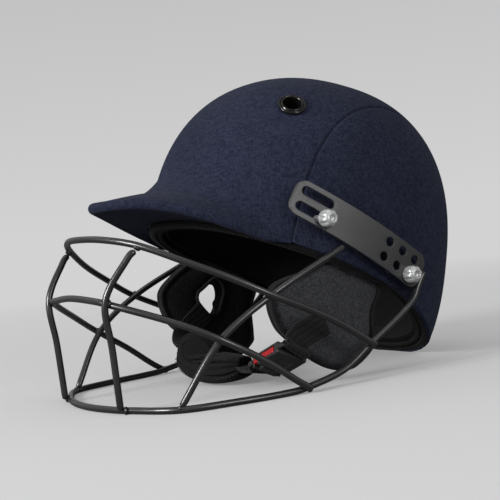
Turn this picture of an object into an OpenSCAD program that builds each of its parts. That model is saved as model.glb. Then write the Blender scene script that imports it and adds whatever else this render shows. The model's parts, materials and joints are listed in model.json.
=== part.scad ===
// Batting helmet: a cloth-covered hard shell with a peak, a foam liner with comfort pads,
// two padded ear flaps, a chin strap with a side-release buckle, and a wire face guard
// whose side plates slide back along the shell by one hole pitch.
// The helmet is modelled level: the wearer faces -Y, the wearer's left is +X, and the rim
// of the shell lies at height 0. It is then tipped back onto its guard and its nape.

/* [Shell] */
// Half width of the covered shell, at the ears
shell_half_width = 100; // [97:0.5:102]
// Length of the covered shell ahead of its centre
shell_front_length = 125; // [121:0.5:128]
// Length of the covered shell behind its centre
shell_rear_length = 116.5; // [112:0.5:121]
// Height of the crown above the shell's centre
shell_crown_height = 134; // [128:1:140]
// Height of the shell's centre above the rim
shell_centre_height = 21; // [18:1:24]
// Wall of the hard shell
shell_wall = 3; // [2.4:0.1:3.4]
// Thickness of the cloth cover
cloth_thickness = 1; // [0.8:0.1:1.2]
// Thickness of the foam liner
liner_thickness = 9.3; // [8:0.1:11]
// Thickness of the comfort pads inside the liner
comfort_thickness = 7; // [5:0.5:9]
// Depth by which the nape dips below the rim
nape_drop = 25; // [20:1:28]
// Width of the felt trim under the rim
trim_width = 11.5; // [9:0.5:13]
// Thickness of the felt trim
trim_thickness = 4; // [3:0.1:4.6]

/* [Peak] */
// Reach of the peak beyond the front of the rim
peak_reach = 56; // [50:1:60]
// Half of the angle over which the peak grows out of the rim
peak_half_angle = 52; // [50:0.5:52]
// Depth of the peak's tip below the rim
peak_droop = 9.5; // [7:0.5:11]
// Height above the rim at which the peak's top meets the shell
peak_root_height = 22; // [19:0.5:24]
// Thickness of the peak's rounded edge
peak_edge = 8; // [7:0.2:9]

/* [Vents] */
// Distance of each vent from the middle plane
vent_offset = 64; // [60:1:68]
// Distance of each vent ahead of the ears' midpoint
vent_ahead = 83; // [79:1:86]
// Bore of the metal vent rings
vent_bore = 13; // [11:0.5:14]
// Outer width of the vent rings
vent_width = 23; // [21.5:0.5:25]

/* [Face guard] */
// Diameter of the coated wire
wire_diameter = 4.8; // [4.4:0.1:5]
// Reach of the top bar ahead of the ears' midpoint
top_bar_reach = 185; // [181:1:189]
// Depth of the top bar's front below the rim
top_bar_depth = 37; // [35:0.5:39]
// Reach of the middle bar
middle_bar_reach = 176; // [173:1:179]
// Depth of the middle bar's front below the rim
middle_bar_depth = 79; // [76:0.5:82]
// Reach of the bottom bar
bottom_bar_reach = 140; // [137:1:143]
// Distance of each upright from the middle plane, where it crosses the middle bar
upright_offset = 49; // [46:0.5:52]
// Depth by which crossing wires are sunk into each other at a weld
weld_sink = 0.5; // [0.3:0.1:0.8]

/* [Side plates] */
// Length of each side plate
plate_length = 120; // [118:0.5:122]
// Height of each side plate
plate_height = 26.6; // [25.6:0.2:28]
// Thickness of the side plates
plate_thickness = 2; // [1.6:0.1:2.4]
// Gap between a side plate and the widest part of the shell
plate_gap = 6; // [5.8:0.1:7]
// Radius to which the side plates are bent
plate_bend = 240; // [225:5:260]
// Slope of the side plates, down towards the back
plate_slope = 9.5; // [8.5:0.25:10.5]
// Distance between the two rows of holes, and between the two slots
row_spacing = 12; // [11:0.2:12.6]
// Distance from hole to hole along a row
hole_pitch = 13.5; // [12.5:0.1:14]
// Diameter of the adjusting holes
hole_diameter = 6.8; // [6.6:0.1:7.4]
// Overall length of each slot
slot_length = 25; // [24:0.5:27]
// Width of the slots
slot_width = 6.6; // [6.4:0.1:7]

/* [Fasteners] */
// Diameter of the screws and bolts
screw_diameter = 6; // [5:0.1:6]
// Width of the domed nuts and bolt heads
nut_width = 13.4; // [12.4:0.2:14.4]
// Height of the domed nuts and bolt heads
nut_height = 9.5; // [8.5:0.5:11]
// Flats round a domed nut
nut_flats = 8; // [6:1:10]

/* [Ear flaps] */
// Thickness of the ear flaps
flap_thickness = 12; // [10:0.5:13]
// Depth of the ear flaps below the rim
flap_depth = 73; // [70:0.5:76]
// Depth of a flap's outer face inside the side of the shell, at the rim
flap_inset = 8; // [7:0.5:9.5]

/* [Chin strap] */
// Width of the webbing
webbing_width = 20; // [18:0.5:21]
// Thickness of the webbing
webbing_thickness = 1.6; // [1.2:0.1:1.8]
// Length of the buckle's socket
socket_length = 24; // [22:0.5:26]
// Width of the buckle
buckle_width = 26; // [25:0.2:27]
// Thickness of the buckle
buckle_thickness = 9; // [8.6:0.1:9.6]
// Width of the padded chin cup
cup_width = 27; // [24:0.5:29]
// Thickness of the padded chin cup
cup_thickness = 17; // [14:0.5:18]

/* [Stance] */
// Angle by which the helmet is tipped back when it stands on its guard and nape
rest_tilt = 25.5; // [25:0.1:26]

/* [Hidden] */
$fn = 48;

navy = "#1b2340";
felt = "#3b3c3d";
black_cloth = "#17181a";
heather = "#2b2c2f";
coated_black = "#26272a";
zinc = "#d3d5d6";
foam = "#202124";
red_plastic = "#c81e24";

// The shell is a rounded dome whose axes lean forward a little
ear_point = [0, -14, 0];
dome_centre = [0, -14.2, shell_centre_height];
dome_lean = -10.9;
plan_power = 2.3;
profile_power = 2.42;

// Clearances between the layers
cover_clearance = 0.9;
liner_clearance = 1;
pad_clearance = 1.3;
sewn_gap = 0.5;
seat_gap = 0.3;
touch_gap = 0.1;

// Depths of the layers below the cloth's outer face
cloth_inside = -cloth_thickness;
shell_outside = cloth_inside - cover_clearance;
shell_inside = shell_outside - shell_wall;
liner_outside = shell_inside - liner_clearance;
liner_inside = liner_outside - liner_thickness;
pad_outside = liner_inside - pad_clearance;

// How far along the dome's radius a point lies, where 1 is on the layer
function reach(p, layer) =
  let (
    q = p - dome_centre,
    along = q.y * cos(dome_lean) - q.z * sin(dome_lean),
    up = q.z * cos(dome_lean) + q.y * sin(dome_lean),
    half_length = (along < 0 ? shell_front_length : shell_rear_length) + layer,
    across = pow(abs(q.x) / (shell_half_width + layer), plan_power),
    plan = pow(across + pow(abs(along) / half_length, plan_power),
               profile_power / plan_power)
  )
  pow(plan + pow(abs(up) / (shell_crown_height + layer), profile_power), 1 / profile_power);

// Point where a line from a start in a direction meets a layer of the dome
function meet(start, way, layer, t = 110, steps = 4) =
  steps == 0 ? start + t * way
  : let (
      here = reach(start + t * way, layer),
      next = reach(start + (t + 1) * way, layer)
    )
    meet(start, way, layer, t + (1 - here) / (next - here), steps - 1);

function heading(turn, rise) = [cos(rise) * cos(turn), cos(rise) * sin(turn), sin(rise)];
function on_shell(turn, rise, layer) = meet(ear_point, heading(turn, rise), layer);

// The rim is level, and dips towards the nape
nape_angle = asin(nape_drop / norm(on_shell(90, -12, 0) - ear_point));
nape_start = 18;
function clamped(value) = max(0, min(1, value));
function behind(turn) = sin(turn) > 0 ? min(turn, 180 - turn) : 0;
function dip(turn) = sin(90 * clamped((behind(turn) - nape_start) / (90 - nape_start)));
function rim_rise(turn) = -nape_angle * dip(turn);
function rise_of_height(turn, height, rise = 0, steps = 3) =
  steps == 0 ? rise
  : rise_of_height(turn, height,
      asin(height / norm(on_shell(turn, rise, 0) - ear_point)), steps - 1);

// The side panels' seam, as an angle from the middle plane, along the arc over the head
seam_back = 22;
seam_swell = 30.7;
function seam(arc) = seam_back + seam_swell * pow(max(0, cos(0.93 * arc)), 1.4);
seam_gap = 0.12;

// A direction given by its arc over the head and its angle from the middle plane
function swept(arc, lean) = [sin(lean), -cos(lean) * cos(arc), cos(lean) * sin(arc)];
function nape_arc(lean) =
  lean > 89.9 ? 180 : 180 + asin(clamped(-sin(rim_rise(90 - abs(lean))) / cos(lean)));

// The peak
function from_front(turn) = abs(turn + 90);
function peak_fade(angle) = angle < peak_half_angle ? pow(cos(90 * angle / peak_half_angle), 2) : 0;
function peak_length(angle) = peak_reach * peak_fade(angle);
function peak_root(angle) = peak_root_height * pow(peak_fade(angle), 0.4);
function peak_tip_height(angle) = -1 - (peak_droop - 1) * pow(peak_fade(angle), 5);
function rim_radius(turn, height) =
  let (p = on_shell(turn, rise_of_height(turn, height), 0) - ear_point)
  norm([p.x, p.y]);
peak_cover_angle = peak_half_angle - 6;
peak_core_angle = peak_half_angle - 10.5;
root_clearance = 0.5;

// Where a front-to-back arc starts: above the peak's root
function front_arc(lean) =
  let (height = peak_root(abs(lean)))
  height > 0.5
    ? asin(clamped(sin(rise_of_height(-90 + abs(lean), height + seat_gap)) / cos(lean)))
    : 0;

// Half outline of the peak at one angle, from its root over the tip to the underside
function peak_outline(angle, shrink) =
  let (
    turn = -90 + angle,
    out = peak_length(abs(angle)) - shrink,
    root = peak_root(abs(angle)) - shrink,
    tip = peak_tip_height(abs(angle)),
    round = min(peak_edge / 2, max(0.4, root / 2 + 0.5)) - shrink * 0.5,
    edge = max(0.2, out - round),
    wall = rim_radius(turn, max(0, root)),
    rim = rim_radius(turn, 0),
    lift = shrink,
    top = [for (k = [0 : 4]) let (s = k / 5)
      [wall * (1 - s) + (rim + edge) * s, root + (tip + round - root) * pow(s, 1.2)]],
    tip_round = [for (w = [90 : -30 : -90])
      [rim + edge + round * cos(w), tip + round * sin(w)]],
    under = [for (k = [1 : 3]) let (s = k / 3)
      [rim + edge * (1 - s), (tip - round) * (1 - s) + lift * s]]
  )
  [for (p = concat(top, tip_round, under))
    ear_point + [p[0] * cos(turn), p[0] * sin(turn), p[1]]];

// Closed surface between an outer and an inner grid of points
module skin(outer, inner, round = false) {
  rows = len(outer);
  columns = len(outer[0]);
  points = concat([for (row = outer) each row], [for (row = inner) each row]);
  depth = rows * columns;
  last = round ? columns - 1 : columns - 2;
  quads = concat(
    [for (i = [0 : rows - 2], j = [0 : last]) let (n = (j + 1) % columns)
      [i * columns + j, i * columns + n, (i + 1) * columns + n, (i + 1) * columns + j]],
    [for (i = [0 : rows - 2], j = [0 : last]) let (n = (j + 1) % columns)
      [for (v = [(i + 1) * columns + j, (i + 1) * columns + n, i * columns + n, i * columns + j])
        v + depth]],
    [for (j = [0 : last]) let (n = (j + 1) % columns) [n, j, j + depth, n + depth]],
    [for (j = [0 : last]) let (n = (j + 1) % columns, base = (rows - 1) * columns)
      [base + j, base + n, base + n + depth, base + j + depth]],
    round ? [] : [for (i = [0 : rows - 2]) let (a = i * columns, b = (i + 1) * columns)
      [a, b, b + depth, a + depth]],
    round ? [] : [for (i = [0 : rows - 2])
      let (a = i * columns + columns - 1, b = a + columns)
      [b, a, a + depth, b + depth]]
  );
  triangles = [for (q = quads, t = [[q[0], q[1], q[2]], [q[0], q[2], q[3]]])
    if (apart(points, t)) t];
  polyhedron(points, triangles, convexity = 6);
}
function apart(points, t) =
  min(norm(points[t[0]] - points[t[1]]), norm(points[t[1]] - points[t[2]]),
      norm(points[t[2]] - points[t[0]])) > 0.0001;

// Closed surface through rings of points; the ends are closed unless it is a loop
module loft(rings, loop = false) {
  sides = len(rings[0]);
  count = len(rings);
  points = [for (ring = rings) each ring];
  spans = loop ? count - 1 : count - 2;
  walls = [for (i = [0 : spans], j = [0 : sides - 1])
    let (
      n = (j + 1) % sides, m = (i + 1) % count,
      a = i * sides + j, b = i * sides + n, c = m * sides + n, d = m * sides + j
    )
    each [[a, b, c], [a, c, d]]];
  start = loop ? [] : [for (j = [1 : sides - 2]) [0, j + 1, j]];
  far = (count - 1) * sides;
  end = loop ? [] : [for (j = [1 : sides - 2]) [far, far + j, far + j + 1]];
  polyhedron(points, concat(walls, start, end), convexity = 6);
}

// Smooth curve through points, with a number of steps between each two
function spline_at(a, b, c, d, t) =
  0.5 * (2 * b + (c - a) * t + (2 * a - 5 * b + 4 * c - d) * t * t
         + (3 * b - 3 * c + d - a) * t * t * t);
function curve(points, steps) =
  let (n = len(points) - 1)
  concat(
    [for (i = [0 : n - 1], k = [0 : steps - 1])
      spline_at(
        i == 0 ? 2 * points[0] - points[1] : points[i - 1], points[i], points[i + 1],
        i == n - 1 ? 2 * points[n] - points[n - 1] : points[i + 2], k / steps)],
    [points[n]]);
function closed_curve(points, steps) =
  let (n = len(points))
  [for (i = [0 : n - 1], k = [0 : steps - 1])
    spline_at(points[(i + n - 1) % n], points[i], points[(i + 1) % n],
              points[(i + 2) % n], k / steps)];

function unit(v) = v / norm(v);
function tangent(path, i) =
  unit(path[min(i + 1, len(path) - 1)] - path[max(i - 1, 0)]);

// Round wire along a path
wire_sides = 8;
module wire(path, side_hint) {
  radius = wire_diameter / 2;
  loft([for (i = [len(path) - 1 : -1 : 0])
    let (
      t = tangent(path, i),
      u = unit(cross(t, side_hint)),
      v = cross(u, t)
    )
    [for (k = [0 : wire_sides - 1]) let (w = 360 * (k + 0.5) / wire_sides)
      path[i] - radius * (cos(w) * u - sin(w) * v)]]);
}

// Flat webbing along a path, with its width along a direction at each end
module band(path, first_width, last_width, width, thickness) {
  n = len(path) - 1;
  loft([for (i = [n : -1 : 0])
    let (
      t = tangent(path, i),
      hint = first_width * (1 - i / n) + last_width * (i / n),
      flat = unit(cross(t, hint)),
      across = cross(flat, t)
    )
    [for (c = [[1, 1], [-1, 1], [-1, -1], [1, -1]])
      path[i] + across * c[0] * width / 2 + flat * c[1] * thickness / 2]]);
}

function flipped(points) = [for (p = points) [-p.x, p.y, p.z]];
function reversed(list) = [for (i = [len(list) - 1 : -1 : 0]) list[i]];
function both_sides(half) = concat(reversed(flipped([for (i = [1 : len(half) - 1]) half[i]])), half);

// The felt trim is swept round the rim; its lowest nape edge is one of the feet
trim_steps = 48;
trim_edge = 0.8;
trim_round = 2.2;
trim_profile = [
  [-trim_edge, -seat_gap],
  [-trim_edge, trim_round - trim_thickness],
  [-trim_edge - trim_round, -trim_thickness],
  [trim_round - trim_width, -trim_thickness],
  [-trim_width, trim_round - trim_thickness],
  [-trim_width, -seat_gap]
];
function trim_ring(turn) =
  [for (q = trim_profile) on_shell(turn, rim_rise(turn), q[0]) + [0, 0, q[1]]];
function tipped_height(p) = p.z * cos(rest_tilt) - p.y * sin(rest_tilt);
function tipped_length(p) = p.y * cos(rest_tilt) + p.z * sin(rest_tilt);
floor_height = min([for (p = trim_ring(90)) tipped_height(p)]);
function floor_at(y) = (floor_height + y * sin(rest_tilt)) / cos(rest_tilt);
function on_floor(x, y) =
  [x, y, floor_at(y) + wire_diameter / 2 / cos(rest_tilt)];

// Side plates: x runs back along the plate, y up, z out from the middle plane
plate_centre = [0, -34.6, 21.5];
plate_apex = 22.5;
plate_corner = 8;
slot_from_end = 17.5;
holes_from_end = 38.7;
slot_place = slot_from_end - plate_length / 2;
first_hole = plate_length / 2 - holes_from_end;
stay_on_plate = -11.4;
plate_face = shell_half_width + plate_gap;
function plate_drop(along) =
  plate_bend - sqrt(plate_bend * plate_bend - pow(along - plate_apex, 2));
function plate_point(along, up) =
  plate_centre + [
    plate_face + plate_thickness / 2 - plate_drop(along),
    along * cos(plate_slope) + up * sin(plate_slope),
    up * cos(plate_slope) - along * sin(plate_slope)
  ];
screw_place = [slot_place + slot_length / 2 - slot_width / 2, -row_spacing / 2];
bolt_place = [first_hole + 2 * hole_pitch, -row_spacing / 2];
function side_spot(place) = plate_point(place[0], place[1]);
function wall_at(spot, layer) = meet([0, spot.y, spot.z], [1, 0, 0], layer, 90, 6).x;

// Face guard: half paths from the middle plane to the wearer's left
wire_step = wire_diameter - weld_sink;
bar_steps = 3;
function ahead(reach) = ear_point.y - reach;
bottom_half = [
  on_floor(0, ahead(bottom_bar_reach)),
  on_floor(27, ahead(bottom_bar_reach) + 2.6),
  on_floor(52, ahead(bottom_bar_reach) + 9.5),
  on_floor(85.6, ahead(bottom_bar_reach) + 27),
  on_floor(98, -92),
  on_floor(103, -65),
  [104.4, -47, floor_at(-47) + wire_diameter / 2 / cos(rest_tilt) + 1.5],
  [105, -21, -74],
  [105, -4.5, -50],
  [105, 13.5, -24.5],
  [104.7, 23, -8]
];
middle_half = [
  [0, ahead(middle_bar_reach), -middle_bar_depth + 0.5],
  [27, ahead(middle_bar_reach) + 2.6, -middle_bar_depth],
  [upright_offset, ahead(middle_bar_reach) + 8.6, -middle_bar_depth - 1],
  [83, -148, -middle_bar_depth - 2],
  [100.5, -120, -middle_bar_depth - 4.5],
  [106.5, -87, -middle_bar_depth - 8.5],
  [108.6, -60, -middle_bar_depth - 14],
  [104.6 + wire_step, -46, floor_at(-46) + wire_diameter / 2 / cos(rest_tilt) + 0.6]
];
top_half = [
  [0, ahead(top_bar_reach), -top_bar_depth - 1],
  [30, ahead(top_bar_reach) + 5.7, -top_bar_depth],
  [58.5, ahead(top_bar_reach) + 20.4, -top_bar_depth],
  [82, -153, -top_bar_depth - 3],
  [97.5, -125, -top_bar_depth - 5],
  [107.5, -95, -top_bar_depth - 7.4],
  [109.4, -48, -top_bar_depth - 8],
  [105 + wire_step, -2.5, -top_bar_depth - 13.5]
];
upright_half = [
  top_half[2] + [-0.5, -1, -wire_step + 0.6],
  top_half[2] * 0.72 + middle_half[2] * 0.28 + [0, -3.2, 0],
  middle_half[2] + [1.2, -wire_step, 1],
  middle_half[2] * 0.55 + bottom_half[2] * 0.45 + [-1.5, -4.8, 0],
  [48, ahead(bottom_bar_reach) + 8.1 - wire_step, 0]
    + [0, 0, floor_at(ahead(bottom_bar_reach) + 8.1 - wire_step) + wire_diameter / 2 + 0.7]
];
stay_half = [
  plate_point(stay_on_plate, -plate_height / 2 - wire_diameter / 2 + weld_sink - 0.7),
  top_half[5] + [-wire_step, 2, 2],
  middle_half[4] + [-0.93 * wire_step, 0.35 * wire_step, 0],
  bottom_half[3] + [0, 0, wire_diameter / 2 - weld_sink]
];

// The wire's rear end is welded up the rear edge of the side plate
rear_end = [
  plate_point(plate_length / 2 + wire_diameter / 2 - weld_sink, -8),
  plate_point(plate_length / 2 + wire_diameter / 2 - weld_sink, 4)
];

// Fastener sizes
screw_head = 11;
screw_head_height = 1.6;
washer_width = 12;
washer_thickness = 0.9;
insert_width = 8;
insert_flange = 12;
thread_gap = 0.05;
hole_ease = 0.3;

module plate_frame(side) {
  mirror([side < 0 ? 1 : 0, 0, 0])
    translate(plate_centre)
      rotate([-plate_slope, 0, 0])
        rotate([90, 0, 90])
          children();
}

module both_plates() {
  for (side = [1, -1])
    plate_frame(side)
      children();
}

// Holes through one side wall for the front screw and the rear insert
module side_holes(screw_hole, insert_hole) {
  both_plates() {
    translate([screw_place[0], screw_place[1], shell_half_width * 0.7])
      cylinder(d = screw_hole, h = shell_half_width * 0.5);
    translate([bolt_place[0], bolt_place[1], shell_half_width * 0.7])
      cylinder(d = insert_hole, h = shell_half_width * 0.5);
  }
}

// Vents: a frame on the shell with z along its normal
vent_start = [vent_offset, ear_point.y - vent_ahead, 60];
vent_point = meet(vent_start, [0, 0, 1], 0, 50, 6);
vent_across = meet(vent_start + [1, 0, 0], [0, 0, 1], 0, 50, 6) - vent_point;
vent_along = meet(vent_start + [0, 1, 0], [0, 0, 1], 0, 50, 6) - vent_point;
vent_normal = unit(cross(vent_across, vent_along));
vent_barrel = vent_bore + 2;
module vent_frame(side) {
  mirror([side < 0 ? 1 : 0, 0, 0])
    translate(vent_point)
      rotate([0, acos(vent_normal.z), atan2(vent_normal.y, vent_normal.x)])
        children();
}
module vent_holes(ease) {
  for (side = [1, -1])
    vent_frame(side)
      translate([0, 0, -40])
        cylinder(d = vent_barrel + ease, h = 60);
}

// A bowl between two layers of the dome
module bowl(outside, inside, rim_lift, columns, rows) {
  layers = [for (layer = [outside, inside])
    [for (i = [0 : rows])
      [for (j = [0 : columns - 1])
        let (
          turn = 360 * j / columns,
          low = rim_rise(turn) + rim_lift
        )
        on_shell(turn, i == rows ? 90 : low + (90 - low) * i / rows, layer)]]];
  skin(reversed(layers[0]), reversed(layers[1]), true);
}

module hard_shell() {
  color(coated_black)
    difference() {
      bowl(shell_outside, shell_inside, 0.2, 48, 10);
      vent_holes(hole_ease * 2);
      side_holes(screw_diameter + hole_ease, insert_width + hole_ease);
    }
}

// The peak's moulding sits against the front of the shell, under the cloth
module peak_core() {
  stations = 22;
  color(coated_black)
    loft([for (i = [stations : -1 : 0])
      let (
        angle = peak_core_angle * (2 * i / stations - 1),
        ring = peak_outline(angle, cloth_thickness + sewn_gap),
        last = len(ring) - 1
      )
      concat(
        [peak_seat(angle, ring[0].z)],
        [for (k = [1 : last - 1]) ring[k]],
        [peak_seat(angle, ring[last].z)]
      )]);
}
function peak_seat(angle, height) =
  on_shell(angle - 90, rise_of_height(angle - 90, height), shell_outside + root_clearance);

// Cloth panels between the seams
panel_rows = 26;
module front_cover() {
  rows = panel_rows;
  columns = 12;
  layers = [for (layer = [0, cloth_inside])
    [for (i = [0 : rows])
      [for (j = [0 : columns])
        let (
          share = 2 * j / columns - 1,
          arc0 = 180 * i / rows,
          lean = share * (seam(arc0) - seam_gap),
          arc = front_arc(share * (seam(0) - seam_gap)) * (1 - i / rows) + nape_arc(lean) * i / rows
        )
        meet(ear_point, swept(arc, lean), layer)]]];
  color(navy)
    difference() {
      skin(reversed(layers[0]), reversed(layers[1]));
      vent_holes(hole_ease * 2);
    }
}

module side_cover(side) {
  rows = panel_rows;
  columns = 7;
  layers = [for (layer = [0, cloth_inside])
    [for (i = [0 : rows])
      [for (j = [0 : columns])
        let (
          arc0 = 180 * i / rows,
          low = seam(arc0) + seam_gap,
          lean = low + (90 - low) * j / columns,
          arc = nape_arc(lean) * i / rows
        )
        meet(ear_point, swept(arc, j == columns ? 90 : lean), layer)]]];
  color(navy)
    mirror([side < 0 ? 1 : 0, 0, 0])
      difference() {
        skin(reversed(layers[0]), reversed(layers[1]));
        side_holes(screw_diameter + hole_ease * 2, insert_width - 1);
      }
}

// The peak's cloth wraps it from the root over the edge to the rim
module peak_cover() {
  stations = 24;
  layers = [for (shrink = [0, cloth_thickness])
    [for (i = [0 : stations])
      peak_outline(peak_cover_angle * (2 * i / stations - 1), shrink)]];
  color(navy)
    skin(reversed(layers[0]), reversed(layers[1]));
}

module rim_trim() {
  color(felt)
    loft([for (i = [trim_steps - 1 : -1 : 0]) trim_ring(360 * i / trim_steps)], true);
}

module foam_liner() {
  color(foam)
    difference() {
      bowl(liner_outside, liner_inside, 0.4, 36, 8);
      vent_holes(4);
      both_plates() {
        for (place = [screw_place, bolt_place])
          let (wall = wall_at(side_spot(place), shell_inside))
            translate([place[0], place[1], wall - screw_head_height * 2 - 3.5])
              cylinder(d = insert_flange + 2, h = 20);
      }
    }
}

// A crowned pad on the liner, round a point given by its turn and rise
module comfort_pad(turn, rise, half_turn, half_rise, squareness = 0.6) {
  sides = 24;
  shares = [[0.02, 0], [0.35, 0], [0.68, 0], [0.94, 0], [1, 0.35], [0.95, 0.72], [0.7, 0.94], [0.35, 1], [0.02, 1]];
  color(black_cloth)
    loft([for (share = shares)
      [for (k = [0 : sides - 1])
        let (
          w = 360 * k / sides,
          a = sign(cos(w)) * pow(abs(cos(w)), squareness),
          b = sign(sin(w)) * pow(abs(sin(w)), squareness)
        )
        on_shell(turn + half_turn * share[0] * a, rise + half_rise * share[0] * b,
                 pad_outside - comfort_thickness * share[1])]]);
}

module brow_pad() {
  comfort_pad(-90, 19, 42, 11);
}
module side_pad(turn) {
  comfort_pad(turn, 34, 24, 15);
}
module nape_pad() {
  comfort_pad(90, 16, 40, 12);
}
module crown_pad() {
  sides = 24;
  shares = [[0.02, 0], [0.35, 0], [0.68, 0], [0.94, 0], [1, 0.35], [0.95, 0.72], [0.7, 0.94], [0.35, 1], [0.02, 1]];
  crown_spread = 30;
  color(black_cloth)
    loft([for (share = shares)
      [for (k = [0 : sides - 1])
        on_shell(360 * k / sides, 90 - crown_spread * share[0],
                 pad_outside - comfort_thickness * share[1])]]);
}

// A vent ring: a barrel with a double-rolled flange
module vent_rings() {
  lip = 1.3;
  color(coated_black)
    for (side = [1, -1])
      vent_frame(side)
        rotate_extrude($fn = 64) {
          translate([vent_bore / 2, shell_inside])
            square([1, lip - shell_inside]);
          translate([vent_bore / 2, touch_gap])
            square([(vent_width - vent_bore) / 2 - lip, lip]);
          translate([vent_width / 2 - lip, lip + touch_gap])
            circle(r = lip);
          translate([vent_bore / 2 + lip * 1.2, lip * 1.4])
            circle(r = lip * 1.1);
        }
}

// Ear flaps: a soft pad hanging under the trim
flap_offset = shell_half_width - flap_inset;
flap_lean = 0.08;
flap_top = -trim_thickness - seat_gap;
flap_outline = [
  [-45, flap_top], [-64, flap_top - 14], [-83, -33], [-82, -46], [-71, -0.8 * flap_depth],
  [-58, -0.88 * flap_depth], [-37, -0.97 * flap_depth], [-15, -flap_depth],
  [2, -0.93 * flap_depth], [13, -52], [12, -44], [4, -23], [-1, flap_top - 2.2],
  [-20, flap_top]
];
flap_middle = [-36, -38];
module flap_pad() {
  outline = closed_curve(flap_outline, 3);
  shares = [[0.02, 0], [0.55, 0.02], [0.86, 0.07], [0.96, 0.2], [1, 0.5], [0.96, 0.8], [0.86, 0.93],
            [0.55, 0.98], [0.02, 1]];
  loft([for (share = shares)
    [for (q = outline)
      let (
        y = flap_middle[0] + (q[0] - flap_middle[0]) * share[0],
        z = min(flap_top, flap_middle[1] + (q[1] - flap_middle[1]) * share[0])
      )
      [flap_offset + flap_lean * z - flap_thickness * share[1], y, z]]]);
}
ear_hole = [[-39, -12], [-29, -19], [-31, -41], [-47, -36], [-51, -29], [-47, -22]];
module ear_flap_left() {
  color(heather)
    flap_pad();
}
module ear_flap_right() {
  color(black_cloth)
    mirror([1, 0, 0])
      difference() {
        flap_pad();
        translate([flap_offset - 3 * flap_thickness, 0, 0])
          rotate([90, 0, 90])
            linear_extrude(height = 4 * flap_thickness)
              polygon(ear_hole);
      }
}

// Buckle frame: x runs from the flap towards the chin cup, y back, z out
buckle_start = [flap_offset - 4, -56, -72.5];
buckle_drop = 25.8;
module buckle_frame() {
  translate(buckle_start)
    rotate([0, 0, 180])
      rotate([0, buckle_drop, 0])
        mirror([0, 1, 0])
          children();
}
function in_buckle(x) = buckle_start + x * [-cos(buckle_drop), 0, -sin(buckle_drop)];
plate_of_buckle = 2.1;
bar_radius = 1.3;
bar_gap = 0.3;
loop_radius = bar_radius + bar_gap + webbing_thickness;
rear_bar = -loop_radius - 0.6;
socket_back = 4;
arm_width = 3.4;
arm_height = buckle_thickness - 2 * plate_of_buckle - 0.4;
arm_travel = 2;
tongue_start = socket_length + seat_gap;
tongue_block = 6;
front_bar = tongue_start + tongue_block + loop_radius + 0.6;
prong_width = 8;

// Two rails and a bar for the webbing
module webbing_bar(from, bar) {
  rail = 2.2;
  reach_out = abs(bar - from);
  for (side = [1, -1])
    translate([min(from, bar), side * (buckle_width / 2 - rail / 2 - 0.2) - rail / 2, -1.9])
      cube([reach_out, rail, 3.8]);
  translate([bar, 0, 0])
    rotate([90, 0, 0])
      cylinder(r = bar_radius, h = buckle_width - 1, center = true);
}

module buckle_socket() {
  half = buckle_thickness / 2;
  color(black_cloth)
    buckle_frame() {
      difference() {
        translate([0, -buckle_width / 2, -half])
          cube([socket_length, buckle_width, buckle_thickness]);
        translate([socket_back, -buckle_width / 2 - 1, plate_of_buckle - half])
          cube([socket_length, buckle_width + 2, buckle_thickness - 2 * plate_of_buckle]);
      }
      webbing_bar(0, rear_bar);
    }
}

module buckle_tongue() {
  half = buckle_thickness / 2;
  arm_root = buckle_width / 2 - arm_width - arm_travel - 0.5;
  color(black_cloth)
    buckle_frame() {
      translate([tongue_start, -arm_root, -half])
        cube([tongue_block, 2 * arm_root, buckle_thickness]);
      translate([tongue_start + tongue_block - 2, 1 - buckle_width / 2, 0.4 - half])
        cube([2, buckle_width - 2, buckle_thickness - 0.8]);
      translate([socket_back + 1, -prong_width / 2, -arm_height / 2])
        cube([tongue_start - socket_back, prong_width, arm_height]);
      webbing_bar(tongue_start + tongue_block, front_bar);
    }
}

module release_arm(side) {
  length = tongue_start + tongue_block - 2.2 - socket_back - 1.2;
  color(red_plastic)
    buckle_frame()
      translate([socket_back + 1.2, side > 0 ? buckle_width / 2 - arm_width : -buckle_width / 2,
                 -arm_height / 2])
        cube([length, arm_width, arm_height]);
}

// Loop of webbing round a bar, in the buckle's frame
module webbing_loop(bar) {
  buckle_frame()
    translate([bar, 0, 0])
      rotate([90, 0, 0])
        difference() {
          cylinder(r = loop_radius, h = webbing_width, center = true);
          cylinder(r = bar_radius + bar_gap, h = webbing_width + 1, center = true);
        }
}

level_back = [0, cos(rest_tilt), sin(rest_tilt)];
loop_middle = loop_radius - webbing_thickness / 2;
module strap_left() {
  outer = flap_offset + webbing_thickness / 2 + sewn_gap;
  path = curve([
    [outer + flap_lean * -44, -37, -44],
    [outer + flap_lean * -53, -46, -53],
    [outer + flap_lean * -61, -53.5, -61],
    [outer + flap_lean * -66 + 0.4, -56, -66.5],
    in_buckle(rear_bar) + [-loop_middle, 0, 0]
  ], 3);
  color(black_cloth) {
    band(path, [0, 0.8, -0.6], [0, 1, 0], webbing_width, webbing_thickness);
    webbing_loop(rear_bar);
  }
}

cup_near = [26, -50.5, -85];
cup_path = [
  cup_near, [14, -53.5, -88], [-2, -56, -89.5], [-18, -59, -89], [-34, -61.5, -85.5],
  [-46, -63, -79]
];
module cup_webbing() {
  path = curve([
    in_buckle(front_bar) + [0, 0, -loop_middle],
    [43, -54.5, -89],
    cup_near + [1.5, 0, 0]
  ], 3);
  color(black_cloth) {
    band(path, [0, 1, 0], level_back, webbing_width, webbing_thickness);
    webbing_loop(front_bar);
  }
}

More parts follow.
